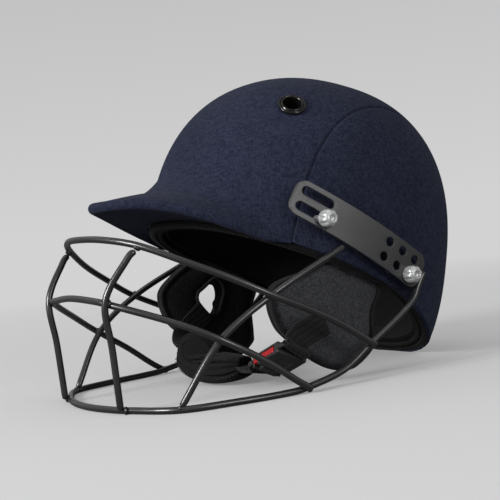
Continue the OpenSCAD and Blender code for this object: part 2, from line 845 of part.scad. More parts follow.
// Chin cup: a padded band, narrower at its ends
module chin_cup() {
  sides = 16;
  path = curve(cup_path, 3);
  n = len(path) - 1;
  color(black_cloth)
    loft([for (i = [n : -1 : 0])
      let (
        share = i / n,
        fill = pow(sin(180 * (0.06 + 0.88 * share)), 0.35),
        t = tangent(path, i),
        up = unit(cross(t, -level_back)),
        across = cross(up, t)
      )
      [for (k = [0 : sides - 1])
        let (
          w = 360 * k / sides,
          a = sign(cos(w)) * pow(abs(cos(w)), 0.75),
          b = sign(sin(w)) * pow(abs(sin(w)), 0.75)
        )
        path[i] + across * a * cup_width / 2 * fill + up * b * cup_thickness / 2 * fill]]);
}

module strap_right() {
  inner = flap_thickness - flap_offset + webbing_thickness / 2 + sewn_gap;
  end = cup_path[len(cup_path) - 1];
  path = curve([
    [inner + flap_lean * 40, -42, -40],
    [inner + flap_lean * 53, -49, -53],
    [inner + flap_lean * 65 + 1, -56, -65],
    [-61, -61, -73],
    end + [-2.6, 0, 3]
  ], 3);
  color(black_cloth)
    band(path, [0, 0.8, -0.6], level_back, webbing_width, webbing_thickness);
}

// Face guard wires
module top_bar() {
  color(coated_black)
    wire(curve(both_sides(top_half), bar_steps), [0, 0, 1]);
}
module middle_bar() {
  color(coated_black)
    wire(curve(both_sides(middle_half), bar_steps), [0, 0, 1]);
}
module bottom_bar() {
  color(coated_black)
    wire(curve(both_sides(concat(bottom_half, rear_end)), bar_steps), [0, -0.5, 1]);
}
module upright(side) {
  color(coated_black)
    mirror([side < 0 ? 1 : 0, 0, 0])
      wire(curve(upright_half, bar_steps), [1, 0, 0]);
}
module stay(side) {
  color(coated_black)
    mirror([side < 0 ? 1 : 0, 0, 0])
      wire(curve(stay_half, bar_steps), [1, 0, 0]);
}

module rounded_plate(length, height, corner) {
  square([length - 2 * corner, height], center = true);
  square([length, height - 2 * corner], center = true);
  for (x = [-1, 1], y = [-1, 1])
    translate([x * (length / 2 - corner), y * (height / 2 - corner)])
      circle(r = corner);
}
module slot(length, width) {
  square([length - width, width], center = true);
  for (x = [-1, 1])
    translate([x * (length - width) / 2, 0])
      circle(d = width);
}

module side_plate(side) {
  color(coated_black)
    plate_frame(side)
      intersection() {
        translate([0, 0, plate_face - 30])
          linear_extrude(height = 40)
            difference() {
              rounded_plate(plate_length, plate_height, plate_corner);
              for (row = [-1, 1]) {
                translate([slot_place, row * row_spacing / 2])
                  slot(slot_length, slot_width);
                for (k = [0 : 2])
                  translate([first_hole + k * hole_pitch, row * row_spacing / 2])
                    circle(d = hole_diameter);
              }
            }
        translate([plate_apex, 0, plate_face - plate_bend])
          rotate([90, 0, 0])
            difference() {
              cylinder(r = plate_bend + plate_thickness, h = plate_height + 2, center = true, $fn = 200);
              cylinder(r = plate_bend, h = plate_height + 4, center = true, $fn = 200);
            }
      }
}

// Highest point of the plate's outer face under a round part
function seat_on_plate(place, width) =
  plate_face + plate_thickness + touch_gap
  - min(plate_drop(place[0] - width / 2), plate_drop(place[0] + width / 2));
screw_seat = seat_on_plate(screw_place, washer_width);
bolt_seat = seat_on_plate(bolt_place, washer_width);
screw_wall = min(
  wall_at(side_spot(screw_place + [-screw_head / 2, 0]), shell_inside),
  wall_at(side_spot(screw_place + [0, screw_head / 2]), shell_inside));
insert_wall = min(
  wall_at(side_spot(bolt_place + [insert_flange / 2, 0]), shell_inside),
  wall_at(side_spot(bolt_place + [0, insert_flange / 2]), shell_inside));

module front_screws() {
  color(zinc)
    both_plates()
      translate([screw_place[0], screw_place[1], 0]) {
        translate([0, 0, screw_wall - screw_head_height - seat_gap])
          cylinder(d = screw_head, h = screw_head_height);
        translate([0, 0, screw_wall - screw_head_height])
          cylinder(d = screw_diameter,
                   h = screw_seat + washer_thickness + nut_height - 3 - screw_wall);
      }
}

module washer(seat, bore) {
  translate([0, 0, seat])
    difference() {
      cylinder(d = washer_width, h = washer_thickness);
      translate([0, 0, -1])
        cylinder(d = bore, h = washer_thickness + 2);
    }
}
module front_washers() {
  color(zinc)
    both_plates()
      translate([screw_place[0], screw_place[1], 0])
        washer(screw_seat, screw_diameter + 2 * thread_gap);
}

// Faceted cap with a domed top and a hexagon socket
module domed_cap() {
  difference() {
    intersection() {
      cylinder(d = nut_width, h = nut_height, $fn = nut_flats);
      translate([0, 0, nut_height - nut_width * 0.72])
        sphere(d = nut_width * 1.44, $fn = 64);
    }
    translate([0, 0, nut_height - 1.6])
      cylinder(d = nut_width * 0.42, h = 3, $fn = 6);
  }
}
module front_nuts() {
  color(zinc)
    both_plates()
      translate([screw_place[0], screw_place[1], screw_seat + washer_thickness])
        difference() {
          domed_cap();
          translate([0, 0, -1])
            cylinder(d = screw_diameter + 2 * thread_gap, h = nut_height - 1.8);
        }
}

// The rear bolts go with the guard; their shanks end just short of the inserts
module rear_bolts() {
  shank_end = wall_at(side_spot(bolt_place), 0) + 1.2;
  color(zinc)
    both_plates()
      translate([bolt_place[0], bolt_place[1], 0]) {
        translate([0, 0, bolt_seat + washer_thickness])
          domed_cap();
        translate([0, 0, shank_end])
          cylinder(d = screw_diameter, h = bolt_seat + washer_thickness - shank_end + 1);
      }
}
module rear_washers() {
  color(zinc)
    both_plates()
      translate([bolt_place[0], bolt_place[1], 0])
        washer(bolt_seat, screw_diameter + 2 * thread_gap);
}
module rear_inserts() {
  outer = wall_at(side_spot(bolt_place), shell_outside) - 0.6;
  color(zinc)
    both_plates()
      translate([bolt_place[0], bolt_place[1], 0])
        difference() {
          union() {
            translate([0, 0, insert_wall - screw_head_height - seat_gap])
              cylinder(d = insert_flange, h = screw_head_height);
            translate([0, 0, insert_wall - screw_head_height])
              cylinder(d = insert_width, h = outer - insert_wall + screw_head_height);
          }
          translate([0, 0, insert_wall - 10])
            cylinder(d = screw_diameter, h = 30);
        }
}

// The helmet stands on its guard and nape, with the middle of its base at the origin
rear_length = max([for (rise = [0 : 2 : 90]) tipped_length(on_shell(90, rise, 0))]);
front_length = min(tipped_length(bottom_half[0]), tipped_length(middle_half[0]))
  - wire_diameter / 2;
module stand() {
  translate([0, -(rear_length + front_length) / 2, -floor_height])
    rotate([-rest_tilt, 0, 0])
      children();
}

stand() hard_shell();
stand() front_cover();
stand() side_cover(1);  // side_cover_left
stand() side_cover(-1);  // side_cover_right
stand() peak_cover();
stand() peak_core();
stand() rim_trim();
stand() foam_liner();
stand() brow_pad();
stand() crown_pad();
stand() side_pad(0);  // side_pad_left
stand() side_pad(180);  // side_pad_right
stand() nape_pad();
stand() vent_rings();
stand() ear_flap_left();
stand() ear_flap_right();
stand() strap_left();
stand() strap_right();
stand() buckle_socket();
stand() buckle_tongue();
stand() release_arm(-1);  // release_arm_front
stand() release_arm(1);  // release_arm_rear
stand() cup_webbing();
stand() chin_cup();
stand() top_bar();
stand() middle_bar();
stand() bottom_bar();
stand() upright(1);  // upright_left
stand() upright(-1);  // upright_right
stand() stay(1);  // stay_left
stand() stay(-1);  // stay_right
stand() side_plate(1);  // side_plate_left
stand() side_plate(-1);  // side_plate_right
stand() front_screws();
stand() front_washers();
stand() front_nuts();
stand() rear_bolts();
stand() rear_washers();
stand() rear_inserts();
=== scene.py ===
import json
from math import acos, asin, cos, degrees, pi, radians, sin, sqrt

import bmesh
import bpy
import numpy as np
from bpy.props import FloatProperty, FloatVectorProperty, IntProperty, PointerProperty
from mathutils import Matrix, Vector

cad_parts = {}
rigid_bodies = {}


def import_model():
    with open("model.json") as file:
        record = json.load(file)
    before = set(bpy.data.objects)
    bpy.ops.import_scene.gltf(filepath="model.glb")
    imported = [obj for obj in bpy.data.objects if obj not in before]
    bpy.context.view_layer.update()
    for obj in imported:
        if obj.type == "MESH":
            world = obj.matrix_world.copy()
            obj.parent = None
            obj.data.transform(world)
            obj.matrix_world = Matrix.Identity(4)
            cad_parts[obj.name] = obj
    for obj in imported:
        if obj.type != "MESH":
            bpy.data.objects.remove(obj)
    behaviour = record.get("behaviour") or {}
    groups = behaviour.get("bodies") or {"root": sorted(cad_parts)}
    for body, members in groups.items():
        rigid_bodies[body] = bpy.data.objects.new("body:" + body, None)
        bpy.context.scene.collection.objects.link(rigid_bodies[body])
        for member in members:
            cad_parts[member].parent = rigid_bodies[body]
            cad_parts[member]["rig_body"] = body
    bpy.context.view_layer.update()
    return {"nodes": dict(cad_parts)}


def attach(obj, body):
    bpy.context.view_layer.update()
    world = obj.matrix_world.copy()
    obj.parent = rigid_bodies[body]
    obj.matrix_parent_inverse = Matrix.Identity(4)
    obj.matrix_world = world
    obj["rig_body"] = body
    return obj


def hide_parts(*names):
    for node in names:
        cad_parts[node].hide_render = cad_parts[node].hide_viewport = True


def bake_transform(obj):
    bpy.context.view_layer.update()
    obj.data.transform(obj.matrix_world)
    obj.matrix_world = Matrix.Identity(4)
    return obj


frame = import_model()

bl_info = {
    "name": "Batting Helmet Looks",
    "version": (1, 0, 0),
    "blender": (4, 5, 0),
    "location": "3D View > Sidebar > Helmet",
    "description": "Cloth, pads, wires, fittings and studio of a batting helmet, built round its CAD frame",
    "category": "Object",
}

# The shapes are worked out in millimetres with the helmet level, its rim at height 0, the wearer
# facing -Y and the wearer's left at +X. to_part() then tips them back to the stance of the frame.
MM = 0.001
TILT = radians(25.5)
STANCE_Y = 45.227
STANCE_Z = 68.81
FLOOR_HEIGHT = -STANCE_Z

EAR = np.array([0.0, -14.0, 0.0])
DOME_CENTRE = np.array([0.0, -14.2, 21.0])
DOME_LEAN = radians(-10.9)
HALF_WIDTH = 100.0
FRONT_LENGTH = 125.0
REAR_LENGTH = 116.5
CROWN_HEIGHT = 134.0
PLAN_POWER = 2.3
PROFILE_POWER = 2.42
NAPE_DROP = 25.0
NAPE_START = 18.0

PEAK_REACH = 56.0
PEAK_HALF_ANGLE = 52.0
PEAK_DROOP = 9.5
PEAK_ROOT = 22.0
PEAK_EDGE = 8.0

SEAM_BACK = 22.0
SEAM_SWELL = 30.7
SEAM_GAP = 0.12
SEAM_SPREAD = 1.1

VENT_OFFSET = 64.0
VENT_AHEAD = 83.0
VENT_CLEARANCE = 9.2

LINER_OUTSIDE = -5.9
LINER_INSIDE = -15.2
PAD_OUTSIDE = -16.5
COMFORT_THICKNESS = 7.0
CORE_THICKNESS = 6.4
PAD_SQUARENESS = 0.6

WIRE = 4.8
WIRE_STEP = 4.3
TOP_REACH = 185.0
TOP_DEPTH = 37.0
MIDDLE_REACH = 176.0
MIDDLE_DEPTH = 79.0
BOTTOM_REACH = 140.0
WELD_SINK = 0.5

PLATE_CENTRE = np.array([0.0, -34.6, 21.5])
PLATE_LENGTH = 120.0
PLATE_HEIGHT = 26.6
PLATE_THICKNESS = 2.0
PLATE_FACE = 106.0
PLATE_BEND = 240.0
PLATE_APEX = 22.5
PLATE_SLOPE = radians(9.5)
PLATE_CORNER = 8.0
PLATE_ROUNDING = 0.5
ROW = 6.0
SLOT_MIDDLE = -42.5
SLOT_HALF = 9.2
SLOT_RADIUS = 3.3
FIRST_HOLE = 21.3
HOLE_PITCH = 13.5
HOLE_RADIUS = 3.4
SCREW_PLACE = (SLOT_MIDDLE + SLOT_HALF, -ROW)
BOLT_PLACE = (FIRST_HOLE + 2 * HOLE_PITCH, -ROW)
SCREW_CLEARANCE = 3.3
INSERT_CLEARANCE = 3.5
WASHER_THICKNESS = 0.9
SEAT_GAP = 0.1
CAP_HEIGHT = 8.4
CAP_WIDTH = 12.8

FLAP_OFFSET = 92.0
FLAP_LEAN = 0.08
FLAP_THICKNESS = 12.0
FLAP_TOP = 1.5

BUCKLE_START = np.array([88.0, -56.0, -72.5])
BUCKLE_DROP = radians(25.8)
SOCKET_LENGTH = 24.0
BUCKLE_WIDTH = 26.0
BUCKLE_THICKNESS = 9.0
BUCKLE_WALL = 2.1
ARM_WIDTH = 3.4
BAR_RADIUS = 1.3
TONGUE_START = 24.3
TONGUE_BLOCK = 6.0
FRONT_BAR = 34.1
REAR_BAR = -3.8
LOOP_MIDDLE = 2.4
WEBBING_WIDTH = 20.0
WEBBING_THICKNESS = 1.6


# Sizes and colours that a user would change

class HelmetSizes(bpy.types.PropertyGroup):
    seam_depth: FloatProperty(
        name="Seam depth", description="How far the cloth dips at the side seams",
        default=0.0006, unit="LENGTH")
    cloth_thickness: FloatProperty(
        name="Cloth thickness", description="Thickness of the cloth cover",
        default=0.0009, unit="LENGTH")
    piping_radius: FloatProperty(
        name="Piping radius", description="Radius of the piping round the ear flaps",
        default=0.0017, unit="LENGTH")
    stitch_length: FloatProperty(
        name="Stitch length", description="Length of one stitch",
        default=0.0022, unit="LENGTH")
    wire_sides: IntProperty(
        name="Wire sides", description="Steps in a quarter of a wire's section", default=5, min=2)
    thread: FloatProperty(
        name="Thread", description="Width of one thread of the cover's weave",
        default=0.0009, unit="LENGTH")


class HelmetColours(bpy.types.PropertyGroup):
    cloth: FloatVectorProperty(
        name="Cloth", description="Colour of the cover", subtype="COLOR", size=3,
        default=(0.0140, 0.0172, 0.0380))
    cloth_light: FloatVectorProperty(
        name="Light threads", description="Colour of the cover's lighter threads", subtype="COLOR",
        size=3, default=(0.0330, 0.0375, 0.0670))
    felt: FloatVectorProperty(
        name="Felt", description="Colour of the trim under the rim", subtype="COLOR", size=3,
        default=(0.0060, 0.0060, 0.0062))
    padding: FloatVectorProperty(
        name="Padding", description="Colour of the black padding", subtype="COLOR", size=3,
        default=(0.0100, 0.0100, 0.0108))
    heather: FloatVectorProperty(
        name="Heather", description="Colour of the near ear flap", subtype="COLOR", size=3,
        default=(0.019, 0.0195, 0.022))
    coating: FloatVectorProperty(
        name="Coating", description="Colour of the coated wires and plates", subtype="COLOR",
        size=3, default=(0.020, 0.0205, 0.0215))
    zinc: FloatVectorProperty(
        name="Zinc", description="Colour of the plated fasteners", subtype="COLOR", size=3,
        default=(0.78, 0.785, 0.79))
    red: FloatVectorProperty(
        name="Release arms", description="Colour of the buckle's arms", subtype="COLOR", size=3,
        default=(0.58, 0.012, 0.018))
    floor: FloatVectorProperty(
        name="Floor", description="Colour of the studio floor", subtype="COLOR", size=3,
        default=(0.86, 0.86, 0.86))


def sizes():
    return bpy.context.scene.helmet_sizes


def colours():
    return bpy.context.scene.helmet_colours


# The shell's surface

def to_part(points):
    """Level millimetres to the part's own frame, in metres."""
    p = np.asarray(points, float)
    out = np.empty_like(p)
    out[..., 0] = p[..., 0]
    out[..., 1] = p[..., 1] * cos(TILT) + p[..., 2] * sin(TILT) + STANCE_Y
    out[..., 2] = p[..., 2] * cos(TILT) - p[..., 1] * sin(TILT) + STANCE_Z
    return out * MM


def reach(points, layer):
    """How far out points lie: 1 on the shell's surface, moved outwards by a layer."""
    q = points - DOME_CENTRE
    along = q[..., 1] * cos(DOME_LEAN) - q[..., 2] * sin(DOME_LEAN)
    up = q[..., 2] * cos(DOME_LEAN) + q[..., 1] * sin(DOME_LEAN)
    half = np.where(along < 0, FRONT_LENGTH, REAR_LENGTH) + layer
    plan = (np.abs(q[..., 0]) / (HALF_WIDTH + layer)) ** PLAN_POWER
    plan = (plan + (np.abs(along) / half) ** PLAN_POWER) ** (PROFILE_POWER / PLAN_POWER)
    return (plan + (np.abs(up) / (CROWN_HEIGHT + layer)) ** PROFILE_POWER) ** (1 / PROFILE_POWER)


def meet(start, way, layer, guess=110.0, steps=7):
    """Where lines from a start, each along its way, meet a layer of the shell."""
    way = np.asarray(way, float)
    start = np.broadcast_to(np.asarray(start, float), way.shape)
    t = np.full(way.shape[:-1], guess)
    for _ in range(steps):
        here = reach(start + t[..., None] * way, layer)
        there = reach(start + (t[..., None] + 1) * way, layer)
        t = t + (1 - here) / (there - here)
    return start + t[..., None] * way


def heading(turn, rise):
    turn, rise = np.broadcast_arrays(np.radians(turn), np.radians(rise))
    return np.stack([np.cos(rise) * np.cos(turn), np.cos(rise) * np.sin(turn), np.sin(rise)], -1)


def on_shell(turn, rise, layer):
    """Points of a layer seen from the ear's middle, at a turn round it and a rise over the rim."""
    return meet(EAR, heading(turn, rise), layer)


NAPE_ANGLE = degrees(asin(NAPE_DROP / np.linalg.norm(on_shell(90, -12, 0) - EAR)))


def rim_rise(turn):
    """Rise of the rim: level in front, and dropped behind to the nape."""
    turn = np.asarray(turn, float)
    behind = np.where(np.sin(np.radians(turn)) > 0, np.minimum(turn % 360, 180 - turn % 360), 0)
    share = np.clip((behind - NAPE_START) / (90 - NAPE_START), 0, 1)
    return -NAPE_ANGLE * np.sin(share * pi / 2)


def rise_of_height(turn, height):
    rise = 0.0
    for _ in range(4):
        far = np.linalg.norm(on_shell(turn, rise, 0) - EAR)
        rise = degrees(asin(height / far))
    return rise


def seam(arc):
    """Lean of the side seam at an arc that runs from the front rim over the crown."""
    return SEAM_BACK + SEAM_SWELL * max(0.0, cos(radians(0.93 * arc))) ** 1.4


def swept(arc, lean):
    """Direction at an arc over the crown, leaned to the side."""
    a, b = radians(arc), radians(lean)
    return np.array([sin(b), -cos(b) * cos(a), cos(b) * sin(a)])


def nape_arc(lean):
    low = radians(float(rim_rise(90 - abs(lean))))
    return 180 + degrees(asin(min(1.0, max(0.0, -sin(low) / cos(radians(lean))))))


def peak_fade(angle):
    """Share of the peak's full depth at an angle from straight ahead."""
    return cos(pi / 2 * angle / PEAK_HALF_ANGLE) ** 2 if angle < PEAK_HALF_ANGLE else 0.0


def rim_radius(turn, height):
    p = on_shell(turn, rise_of_height(turn, height), 0) - EAR
    return sqrt(p[0] ** 2 + p[1] ** 2)


# Curves through points

def spline(points, steps, closed=False):
    p = np.asarray(points, float)
    n = len(p)
    out = []
    for i in range(n if closed else n - 1):
        if closed:
            a, b, c, d = p[(i - 1) % n], p[i], p[(i + 1) % n], p[(i + 2) % n]
        else:
            a = p[i - 1] if i else 2 * p[0] - p[1]
            b, c = p[i], p[i + 1]
            d = p[i + 2] if i < n - 2 else 2 * p[-1] - p[-2]
        for k in range(steps):
            t = k / steps
            out.append(0.5 * (2 * b + (c - a) * t + (2 * a - 5 * b + 4 * c - d) * t * t
                              + (3 * b - 3 * c + d - a) * t ** 3))
    if not closed:
        out.append(p[-1])
    return np.array(out)


def lengths_along(path):
    """Distance from the path's start to each of its points."""
    return np.concatenate([[0], np.cumsum(np.linalg.norm(np.diff(path, axis=0), axis=1))])


def resampled(points, count):
    p = np.asarray(points, float)
    far = lengths_along(p)
    at = np.linspace(0, far[-1], count)
    return np.stack([np.interp(at, far, p[:, k]) for k in range(3)], -1)


def unit(v):
    v = np.asarray(v, float)
    return v / np.maximum(np.linalg.norm(v, axis=-1, keepdims=True), 1e-12)


def tangents(path):
    t = np.empty_like(path)
    t[1:-1] = path[2:] - path[:-2]
    t[0], t[-1] = path[1] - path[0], path[-1] - path[-2]
    return unit(t)


def mirrored(points):
    return np.asarray(points, float) * np.array([-1.0, 1.0, 1.0])


def squarish(turn, power):
    """Cosine and sine of a turn, pushed out towards a rounded square by a power under 1."""
    c, s = np.cos(turn), np.sin(turn)
    return np.sign(c) * np.abs(c) ** power, np.sign(s) * np.abs(s) ** power


def closed_net(rings):
    """Stacks rings into a net whose last column is exactly its first."""
    net = np.array(rings)
    net[:, -1] = net[:, 0]
    return net


# Modelling

def clear_selection():
    if bpy.context.mode != "OBJECT":
        bpy.ops.object.mode_set(mode="OBJECT")
    bpy.ops.object.select_all(action="DESELECT")


def only(obj):
    clear_selection()
    obj.select_set(True)
    bpy.context.view_layer.objects.active = obj


def edit_all(obj, *steps):
    only(obj)
    bpy.ops.object.mode_set(mode="EDIT")
    bpy.ops.mesh.select_all(action="SELECT")
    for step in steps:
        step()
    bpy.ops.object.mode_set(mode="OBJECT")


def outward():
    bpy.ops.mesh.normals_make_consistent(inside=False)


def merge():
    """Joins equal corners of a mesh in metres."""
    bpy.ops.mesh.remove_doubles(threshold=2e-6)


def merge_coarse():
    """Joins equal corners of a mesh that is still in millimetres."""
    bpy.ops.mesh.remove_doubles(threshold=1e-4)


def modifier(obj, kind, **values):
    only(obj)
    m = obj.modifiers.new(kind.lower(), kind)
    for key, value in values.items():
        setattr(m, key, value)
    bpy.ops.object.modifier_apply(modifier=m.name)


def smooth(obj, angle=None):
    only(obj)
    if angle is None:
        bpy.ops.object.shade_smooth()
    else:
        bpy.ops.object.shade_smooth_by_angle(angle=radians(angle))


def coordinates(mesh):
    co = np.empty(len(mesh.vertices) * 3)
    mesh.vertices.foreach_get("co", co)
    return co.reshape(-1, 3)


def move_to(mesh, co):
    mesh.vertices.foreach_set("co", np.asarray(co).ravel())
    mesh.update()


def grid_on(name, net):
    """A grid primitive whose corners are moved onto a net, and each corner's row and column."""
    rows, columns = net.shape[:2]
    clear_selection()
    bpy.ops.mesh.primitive_grid_add(
        x_subdivisions=columns - 1, y_subdivisions=rows - 1, size=2, location=(0, 0, 0))
    obj = bpy.context.object
    obj.name = name
    obj.data.name = name
    co = coordinates(obj.data)
    column = np.rint((co[:, 0] + 1) / 2 * (columns - 1)).astype(int)
    row = np.rint((co[:, 1] + 1) / 2 * (rows - 1)).astype(int)
    move_to(obj.data, net[row, column])
    return obj, row, column


def lengths(points):
    """Distances along rows and columns of a grid of points, in metres."""
    across = np.linalg.norm(np.diff(points, axis=1), axis=2)
    along = np.linalg.norm(np.diff(points, axis=0), axis=2)
    u = np.concatenate([np.zeros((len(points), 1)), np.cumsum(across, 1)], 1)
    v = np.concatenate([np.zeros((1, points.shape[1])), np.cumsum(along, 0)], 0)
    return u * MM, v * MM


def sheet_from(name, points, closed=False):
    """A surface on a net of level points, with its lengths along the cloth as UV map."""
    points = np.asarray(points, float)
    obj, row, column = grid_on(name, to_part(points))
    mesh = obj.data
    u, v = lengths(points)
    middle = points.shape[1] // 2
    u = u - u[:, middle:middle + 1]
    corners = np.empty(len(mesh.loops), int)
    mesh.loops.foreach_get("vertex_index", corners)
    flat = np.stack([u[row, column][corners], v[row, column][corners]], -1)
    mesh.uv_layers[0].data.foreach_set("uv", flat.ravel())
    mesh.update()
    if closed:
        edit_all(obj, merge, outward)
    return obj


def face_away(obj, centre):
    """Turns an open sheet's faces so that they point away from a level point."""
    mesh = obj.data
    c = Vector(to_part(np.array(centre, float)))
    total = sum((f.center - c).dot(f.normal) * f.area for f in mesh.polygons)
    if total < 0:
        edit_all(obj, bpy.ops.mesh.flip_normals)


def tube(name, path, radius, closed=False):
    """Round wire or piping along level points, with rounded ends."""
    clear_selection()
    bpy.ops.curve.primitive_nurbs_path_add(location=(0, 0, 0))
    obj = bpy.context.object
    obj.name = name
    curve = obj.data
    curve.splines.clear()
    path = np.asarray(path, float)
    swell = np.ones(len(path))
    if not closed:
        steps = np.array([0.0, 0.12, 0.35, 0.65])
        cap = np.sqrt(np.maximum(1 - (1 - steps) ** 2, 0.004))
        t = tangents(path)
        head = path[0] + t[0] * (radius * steps)[:, None]
        tail = path[-1] - t[-1] * (radius * steps[::-1])[:, None]
        far = lengths_along(path)
        keep = (far > radius) & (far < far[-1] - radius)
        path = np.concatenate([head, path[keep], tail])
        swell = np.concatenate([cap, np.ones(keep.sum()), cap[::-1]])
    line = curve.splines.new("POLY")
    line.points.add(len(path) - 1)
    places = np.concatenate([to_part(path), np.ones((len(path), 1))], 1)
    line.points.foreach_set("co", places.ravel())
    line.points.foreach_set("radius", swell)
    line.use_cyclic_u = closed
    curve.dimensions = "3D"
    curve.bevel_depth = radius * MM
    curve.bevel_resolution = sizes().wire_sides
    curve.use_fill_caps = True
    only(obj)
    bpy.ops.object.convert(target="MESH")
    obj = bpy.context.object
    obj.data.name = name
    edit_all(obj, merge, outward)
    smooth(obj)
    return obj


def ribbon(name, path, first, last):
    """Flat webbing along level points; its width turns from one direction to the other."""
    path = np.asarray(path, float)
    t = tangents(path)
    share = np.linspace(0, 1, len(path))[:, None]
    hint = np.asarray(first, float) * (1 - share) + np.asarray(last, float) * share
    flat = unit(np.cross(t, hint))
    across = np.cross(flat, t)
    half, thick = WEBBING_WIDTH / 2, WEBBING_THICKNESS / 2
    edge = (0.985, 0.94, 0.8, 0.5, 0.2, -0.2, -0.5, -0.8, -0.94, -0.985)
    face = [(x, 1 if abs(x) < 0.95 else 0.75) for x in edge]
    section = [(1, 0)] + face + [(-1, 0)] + [(-x, -y) for x, y in face] + [(1, 0)]
    net = np.array([[path[i] + across[i] * a * half + flat[i] * b * thick for a, b in section]
                    for i in range(len(path))])
    obj = sheet_from(name, capped(net, path), closed=True)
    smooth(obj, 50)
    return obj


def capped(net, path):
    """Closes a tube's net at both ends of the path that runs through it."""
    return np.concatenate([path[0] + 0 * net[:1], net, path[-1] + 0 * net[-1:]])


def joined(name, parts):
    clear_selection()
    for p in parts:
        p.select_set(True)
    bpy.context.view_layer.objects.active = parts[0]
    if len(parts) > 1:
        bpy.ops.object.join()
    obj = bpy.context.object
    obj.name = name
    obj.data.name = name
    return obj


def placed(obj, matrix):
    """Moves a mesh by a matrix that may mirror it, and keeps its faces pointing outwards."""
    obj.data.transform(matrix)
    if matrix.determinant() < 0:
        obj.data.flip_normals()
    obj.data.update()


def part_matrix(columns, origin):
    """Matrix from local millimetres, along three level directions, to the part's metres."""
    base = to_part(np.asarray(origin, float))
    m = Matrix.Identity(4)
    for k, way in enumerate(columns):
        step = to_part(np.asarray(origin, float) + np.asarray(way, float)) - base
        for r in range(3):
            m[r][k] = step[r]
    for r in range(3):
        m[r][3] = base[r]
    return m


def plate_matrix(place, side, out=0.0):
    """Local frame of a place on a side plate: x back along it, y up, z away from the shell."""
    c, s = cos(PLATE_SLOPE), sin(PLATE_SLOPE)
    back = np.array([0, c, -s])
    up = np.array([0, s, c])
    origin = PLATE_CENTRE + back * place[0] + up * place[1] + np.array([out, 0, 0])
    flip = np.array([side, 1, 1])
    return part_matrix([back * flip, up * flip, np.array([side, 0, 0])], origin * flip)


def buckle_matrix():
    c, s = cos(BUCKLE_DROP), sin(BUCKLE_DROP)
    return part_matrix([(-c, 0, -s), (0, 1, 0), (-s, 0, c)], BUCKLE_START)


def in_buckle(x, y=0.0, z=0.0):
    c, s = cos(BUCKLE_DROP), sin(BUCKLE_DROP)
    return BUCKLE_START + np.array([-c * x - s * z, y, -s * x + c * z])


def block(name, low, high, bevel, segments=3):
    """Box between two corners, in millimetres, with rounded edges."""
    clear_selection()
    size = [high[k] - low[k] for k in range(3)]
    middle = [(high[k] + low[k]) / 2 for k in range(3)]
    bpy.ops.mesh.primitive_cube_add(size=1, location=middle)
    obj = bpy.context.object
    obj.name = name
    obj.scale = size
    bpy.ops.object.transform_apply(location=True, rotation=False, scale=True)
    if bevel:
        modifier(obj, "BEVEL", width=bevel, segments=segments, limit_method="ANGLE")
    return obj


def rod(name, start, end, radius, sides=24, bevel=0.0):
    """Round bar between two points, in millimetres."""
    clear_selection()
    a, b = Vector(start), Vector(end)
    bpy.ops.mesh.primitive_cylinder_add(vertices=sides, radius=radius, depth=(b - a).length)
    obj = bpy.context.object
    obj.name = name
    turn = Vector((0, 0, 1)).rotation_difference(b - a).to_matrix().to_4x4()
    obj.data.transform(Matrix.Translation((a + b) / 2) @ turn)
    if bevel:
        modifier(obj, "BEVEL", width=bevel, segments=2, limit_method="ANGLE")
    return obj


def cut(obj, tools, operation="DIFFERENCE"):
    for tool in tools:
        modifier(obj, "BOOLEAN", object=tool, operation=operation, solver="EXACT")
        bpy.data.objects.remove(tool, do_unlink=True)


def lathe(name, profile, sides=64, lobes=0, depth=0.0):
    """Turned piece round z, in millimetres, with optional flutes on it."""
    profile = [tuple(step) + (0.0,) * (3 - len(step)) for step in profile]
    w = np.linspace(0, 2 * pi, sides + 1)
    net = np.empty((len(profile), sides + 1, 3))
    for i, (radius, height, share) in enumerate(profile):
        wave = np.abs(np.cos(lobes * w / 2)) if lobes else 1.0
        r = radius * (1 - depth * share * (1 - wave))
        net[i] = np.stack([r * np.cos(w), r * np.sin(w), np.full(sides + 1, height)], -1)
    obj = grid_on(name, net)[0]
    edit_all(obj, merge_coarse, outward)
    return obj


def stitches(name, path, outwards, spacing, lift=0.0, radius=0.32):
    """A row of stitches along level points, each a small rounded bar lying on the surface."""
    length = sizes().stitch_length / MM
    path = np.asarray(path, float)
    count = max(2, int(lengths_along(path)[-1] / spacing))
    spots = resampled(path, count)
    ways = tangents(spots)
    clear_selection()
    bpy.ops.mesh.primitive_uv_sphere_add(segments=6, ring_count=4, radius=1)
    row = bpy.context.object
    one = row.data
    work = bmesh.new()
    for i in range(count):
        way = ways[i]
        out = outwards[int(i / count * len(outwards))]
        out = unit(out - way * float(np.dot(out, way)))
        side = np.cross(out, way)
        m = part_matrix([way * length / 2, side * radius, out * radius], spots[i] + out * lift)
        at = len(work.verts)
        work.from_mesh(one)
        work.verts.ensure_lookup_table()
        bmesh.ops.transform(work, matrix=m, verts=work.verts[at:])
    bmesh.ops.recalc_face_normals(work, faces=work.faces)
    work.to_mesh(one)
    work.free()
    row.name = name
    one.name = name
    smooth(row)
    return row


